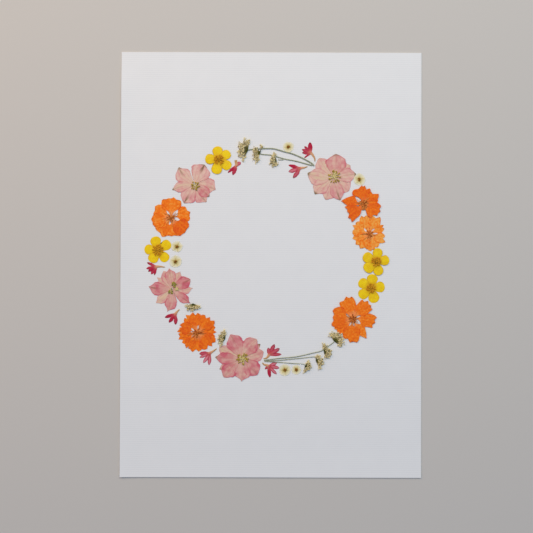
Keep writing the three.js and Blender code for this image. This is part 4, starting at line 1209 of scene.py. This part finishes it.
for i, (name, (centre, rays)) in enumerate(laceUmbels.items()):
    rng = np.random.RandomState(1200 + i)
    pairs = [(a, b) for a, b in zip(rays, rays[1:]) if b[0] - a[0] < umbelForm["betweenTurn"]]
    between = [((a[0] + b[0]) / 2, (a[1] + b[1]) / 2 * umbelForm["betweenReach"]) for a, b in pairs]
    points, edges, isEnd = [], [], []
    for angle, reach in rays + between:
        for share in (1.0, rng.uniform(umbelForm["shortest"], umbelForm["longest"])):
            turn = rng.uniform(-umbelForm["tipTurn"], umbelForm["tipTurn"]) * (share < 1)
            tip = np.array(centre) + polar(angle + turn, (reach - umbelForm["spread"]) * share)
            turn = rng.uniform(-umbelForm["bendTurn"], umbelForm["bendTurn"])
            bend = np.array(centre) + polar(angle + turn, reach * 0.5 * share)
            rise = umbelForm["height"] + rng.uniform(0, umbelForm["rise"])
            first = len(points)
            for u in np.linspace(0, 1, 5):
                x, y = (1 - u) ** 2 * np.array(centre) + 2 * u * (1 - u) * bend + u ** 2 * tip
                points.append((x * mm, y * mm, (cardTop + rise) * mm))
                isEnd.append(float(u == 1))
            edges += [(k, k + 1) for k in range(first, first + 4)]
    mesh = bpy.data.meshes.new(name)
    mesh.from_pydata(points, edges, [])
    mesh.attributes.new("rayEnd", "FLOAT", "POINT").data.foreach_set("value", isEnd)
    values = {"Ray Width": umbelForm["rayWidth"] * mm, "Florets": umbelForm["florets"],
              "Spread": umbelForm["spread"] * mm,
              "Floret Size": umbelForm["floretSize"] * mm, "Seed Size": umbelForm["seedSize"] * mm,
              "Seed": i,
              "Ray": materials["laceRay"], "Floret": materials["laceFloret"],
              "Seed Head": materials["laceSeed"]}
    settle(growPiece(f"lace_{name}_pressed", mesh, [(umbelTree, values)]), "lace_umbel", f"lace_{name}")
print("lace: stems", len(laceStems), "umbels", len(laceUmbels))

# The card: a sheet with a slightly lifted left edge and a bottom edge that doesn't lie quite flat
cardSheet = {"columns": 85, "rows": 120, "liftLeft": 1.1, "liftWidth": 16, "liftBottom": 0.35,
             "bottomWidth": 20, "corner": 0.1, "settle": 0.55, "settleFrom": 0.35, "settleTo": 0.9}


def makeCard(sheet):
    x = np.linspace(cardLow[0], cardHigh[0], sheet["columns"])
    y = np.linspace(cardLow[1], cardHigh[1], sheet["rows"])
    across, up = np.meshgrid(x, y)
    left = np.clip((cardLow[0] + sheet["liftWidth"] - across) / sheet["liftWidth"], 0, 1) ** 2
    low = np.clip((cardLow[1] + sheet["bottomWidth"] - up) / sheet["bottomWidth"], 0, 1) ** 2
    fromTop = (cardHigh[1] - up) / (cardHigh[1] - cardLow[1])
    settled = 1 - sheet["settle"] * smooth(sheet["settleFrom"], sheet["settleTo"], fromTop)
    rise = sheet["liftLeft"] * left * smooth(0, sheet["corner"], fromTop) * settled
    rise = rise + sheet["liftBottom"] * low
    shell = newShell()
    addSheet(shell,
             {"spots": np.dstack([across, up]), "tops": rise, "along": y / cardHigh[1],
              "across": x / cardHigh[0],
                     "under": rise * 0, "marks": (0, 0, 0), "rib": 0, "thickness": cardTop})
    count = across.size
    points = np.concatenate(shell["points"])
    points[count:, 2] = points[:count, 2] - cardTop  # the sheet keeps its thickness where it lifts
    shell["points"] = [points]
    return shellPiece("card_sheet", shell, materials["paper"], "card", "card")


makeCard(cardSheet)
print("card: laid sheet")

# Floor, light and camera. The main light comes from beyond the card's top edge, a little to the right.
stageLook = {"floor": "#cdc7bf", "floorSize": 6.0, "world": "#c2d7fa", "worldStrength": 0.415}
bpy.ops.mesh.primitive_plane_add(size=stageLook["floorSize"], location=(0, 0, -0.0001))
floor = bpy.context.object
floor.name = "floor"
floorMaterial, floorTree, floorShader = newMaterial("paleFloor", 0.9)
floorShader["Base Color"].default_value = linear(stageLook["floor"])
floor.data.materials.append(floorMaterial)

world = bpy.data.worlds.new("studio")
bpy.context.scene.world = world
world.use_nodes = True
world.node_tree.nodes["Background"].inputs[0].default_value = linear(stageLook["world"])
world.node_tree.nodes["Background"].inputs[1].default_value = stageLook["worldStrength"]

lamps = {
    "windowKey": {"place": (0.24, 0.75, 1.15), "size": 0.6, "power": 9.5, "colour": "#f8fcf6"},
    "warmFill": {"place": (-0.7, 0.6, 0.7), "size": 0.8, "power": 5.0, "colour": "#ffd6a8"},
}
for name, lamp in lamps.items():
    light = bpy.data.lights.new(name, "AREA")
    light.size = lamp["size"]
    light.energy = lamp["power"]
    light.color = linear(lamp["colour"])[:3]
    holder = bpy.data.objects.new(name, light)
    bpy.context.scene.collection.objects.link(holder)
    holder.location = lamp["place"]
    aim = -holder.location
    holder.rotation_euler = aim.to_track_quat("-Z", "Y").to_euler()

# The camera looks almost straight down, and its width takes in 372.5 mm of the card's plane
view = {"lens": 50.0, "sensor": 36.0, "across": 372.5, "aim": (-3.1, -1.5), "tilt": 0.5, "roll": 0.17}
camera = bpy.data.objects.new("camera", bpy.data.cameras.new("camera"))
camera.data.lens = view["lens"]
camera.data.sensor_width = view["sensor"]
distance = view["across"] * mm * view["lens"] / view["sensor"]
tilt = math.radians(view["tilt"])
camera.location = (view["aim"][0] * mm, view["aim"][1] * mm - distance * math.sin(tilt),
                   cardHigh[2] * mm + distance * math.cos(tilt))
camera.rotation_euler = (tilt, 0, math.radians(view["roll"]))
bpy.context.scene.collection.objects.link(camera)
bpy.context.scene.camera = camera
bpy.context.scene.view_settings.view_transform = "Standard"
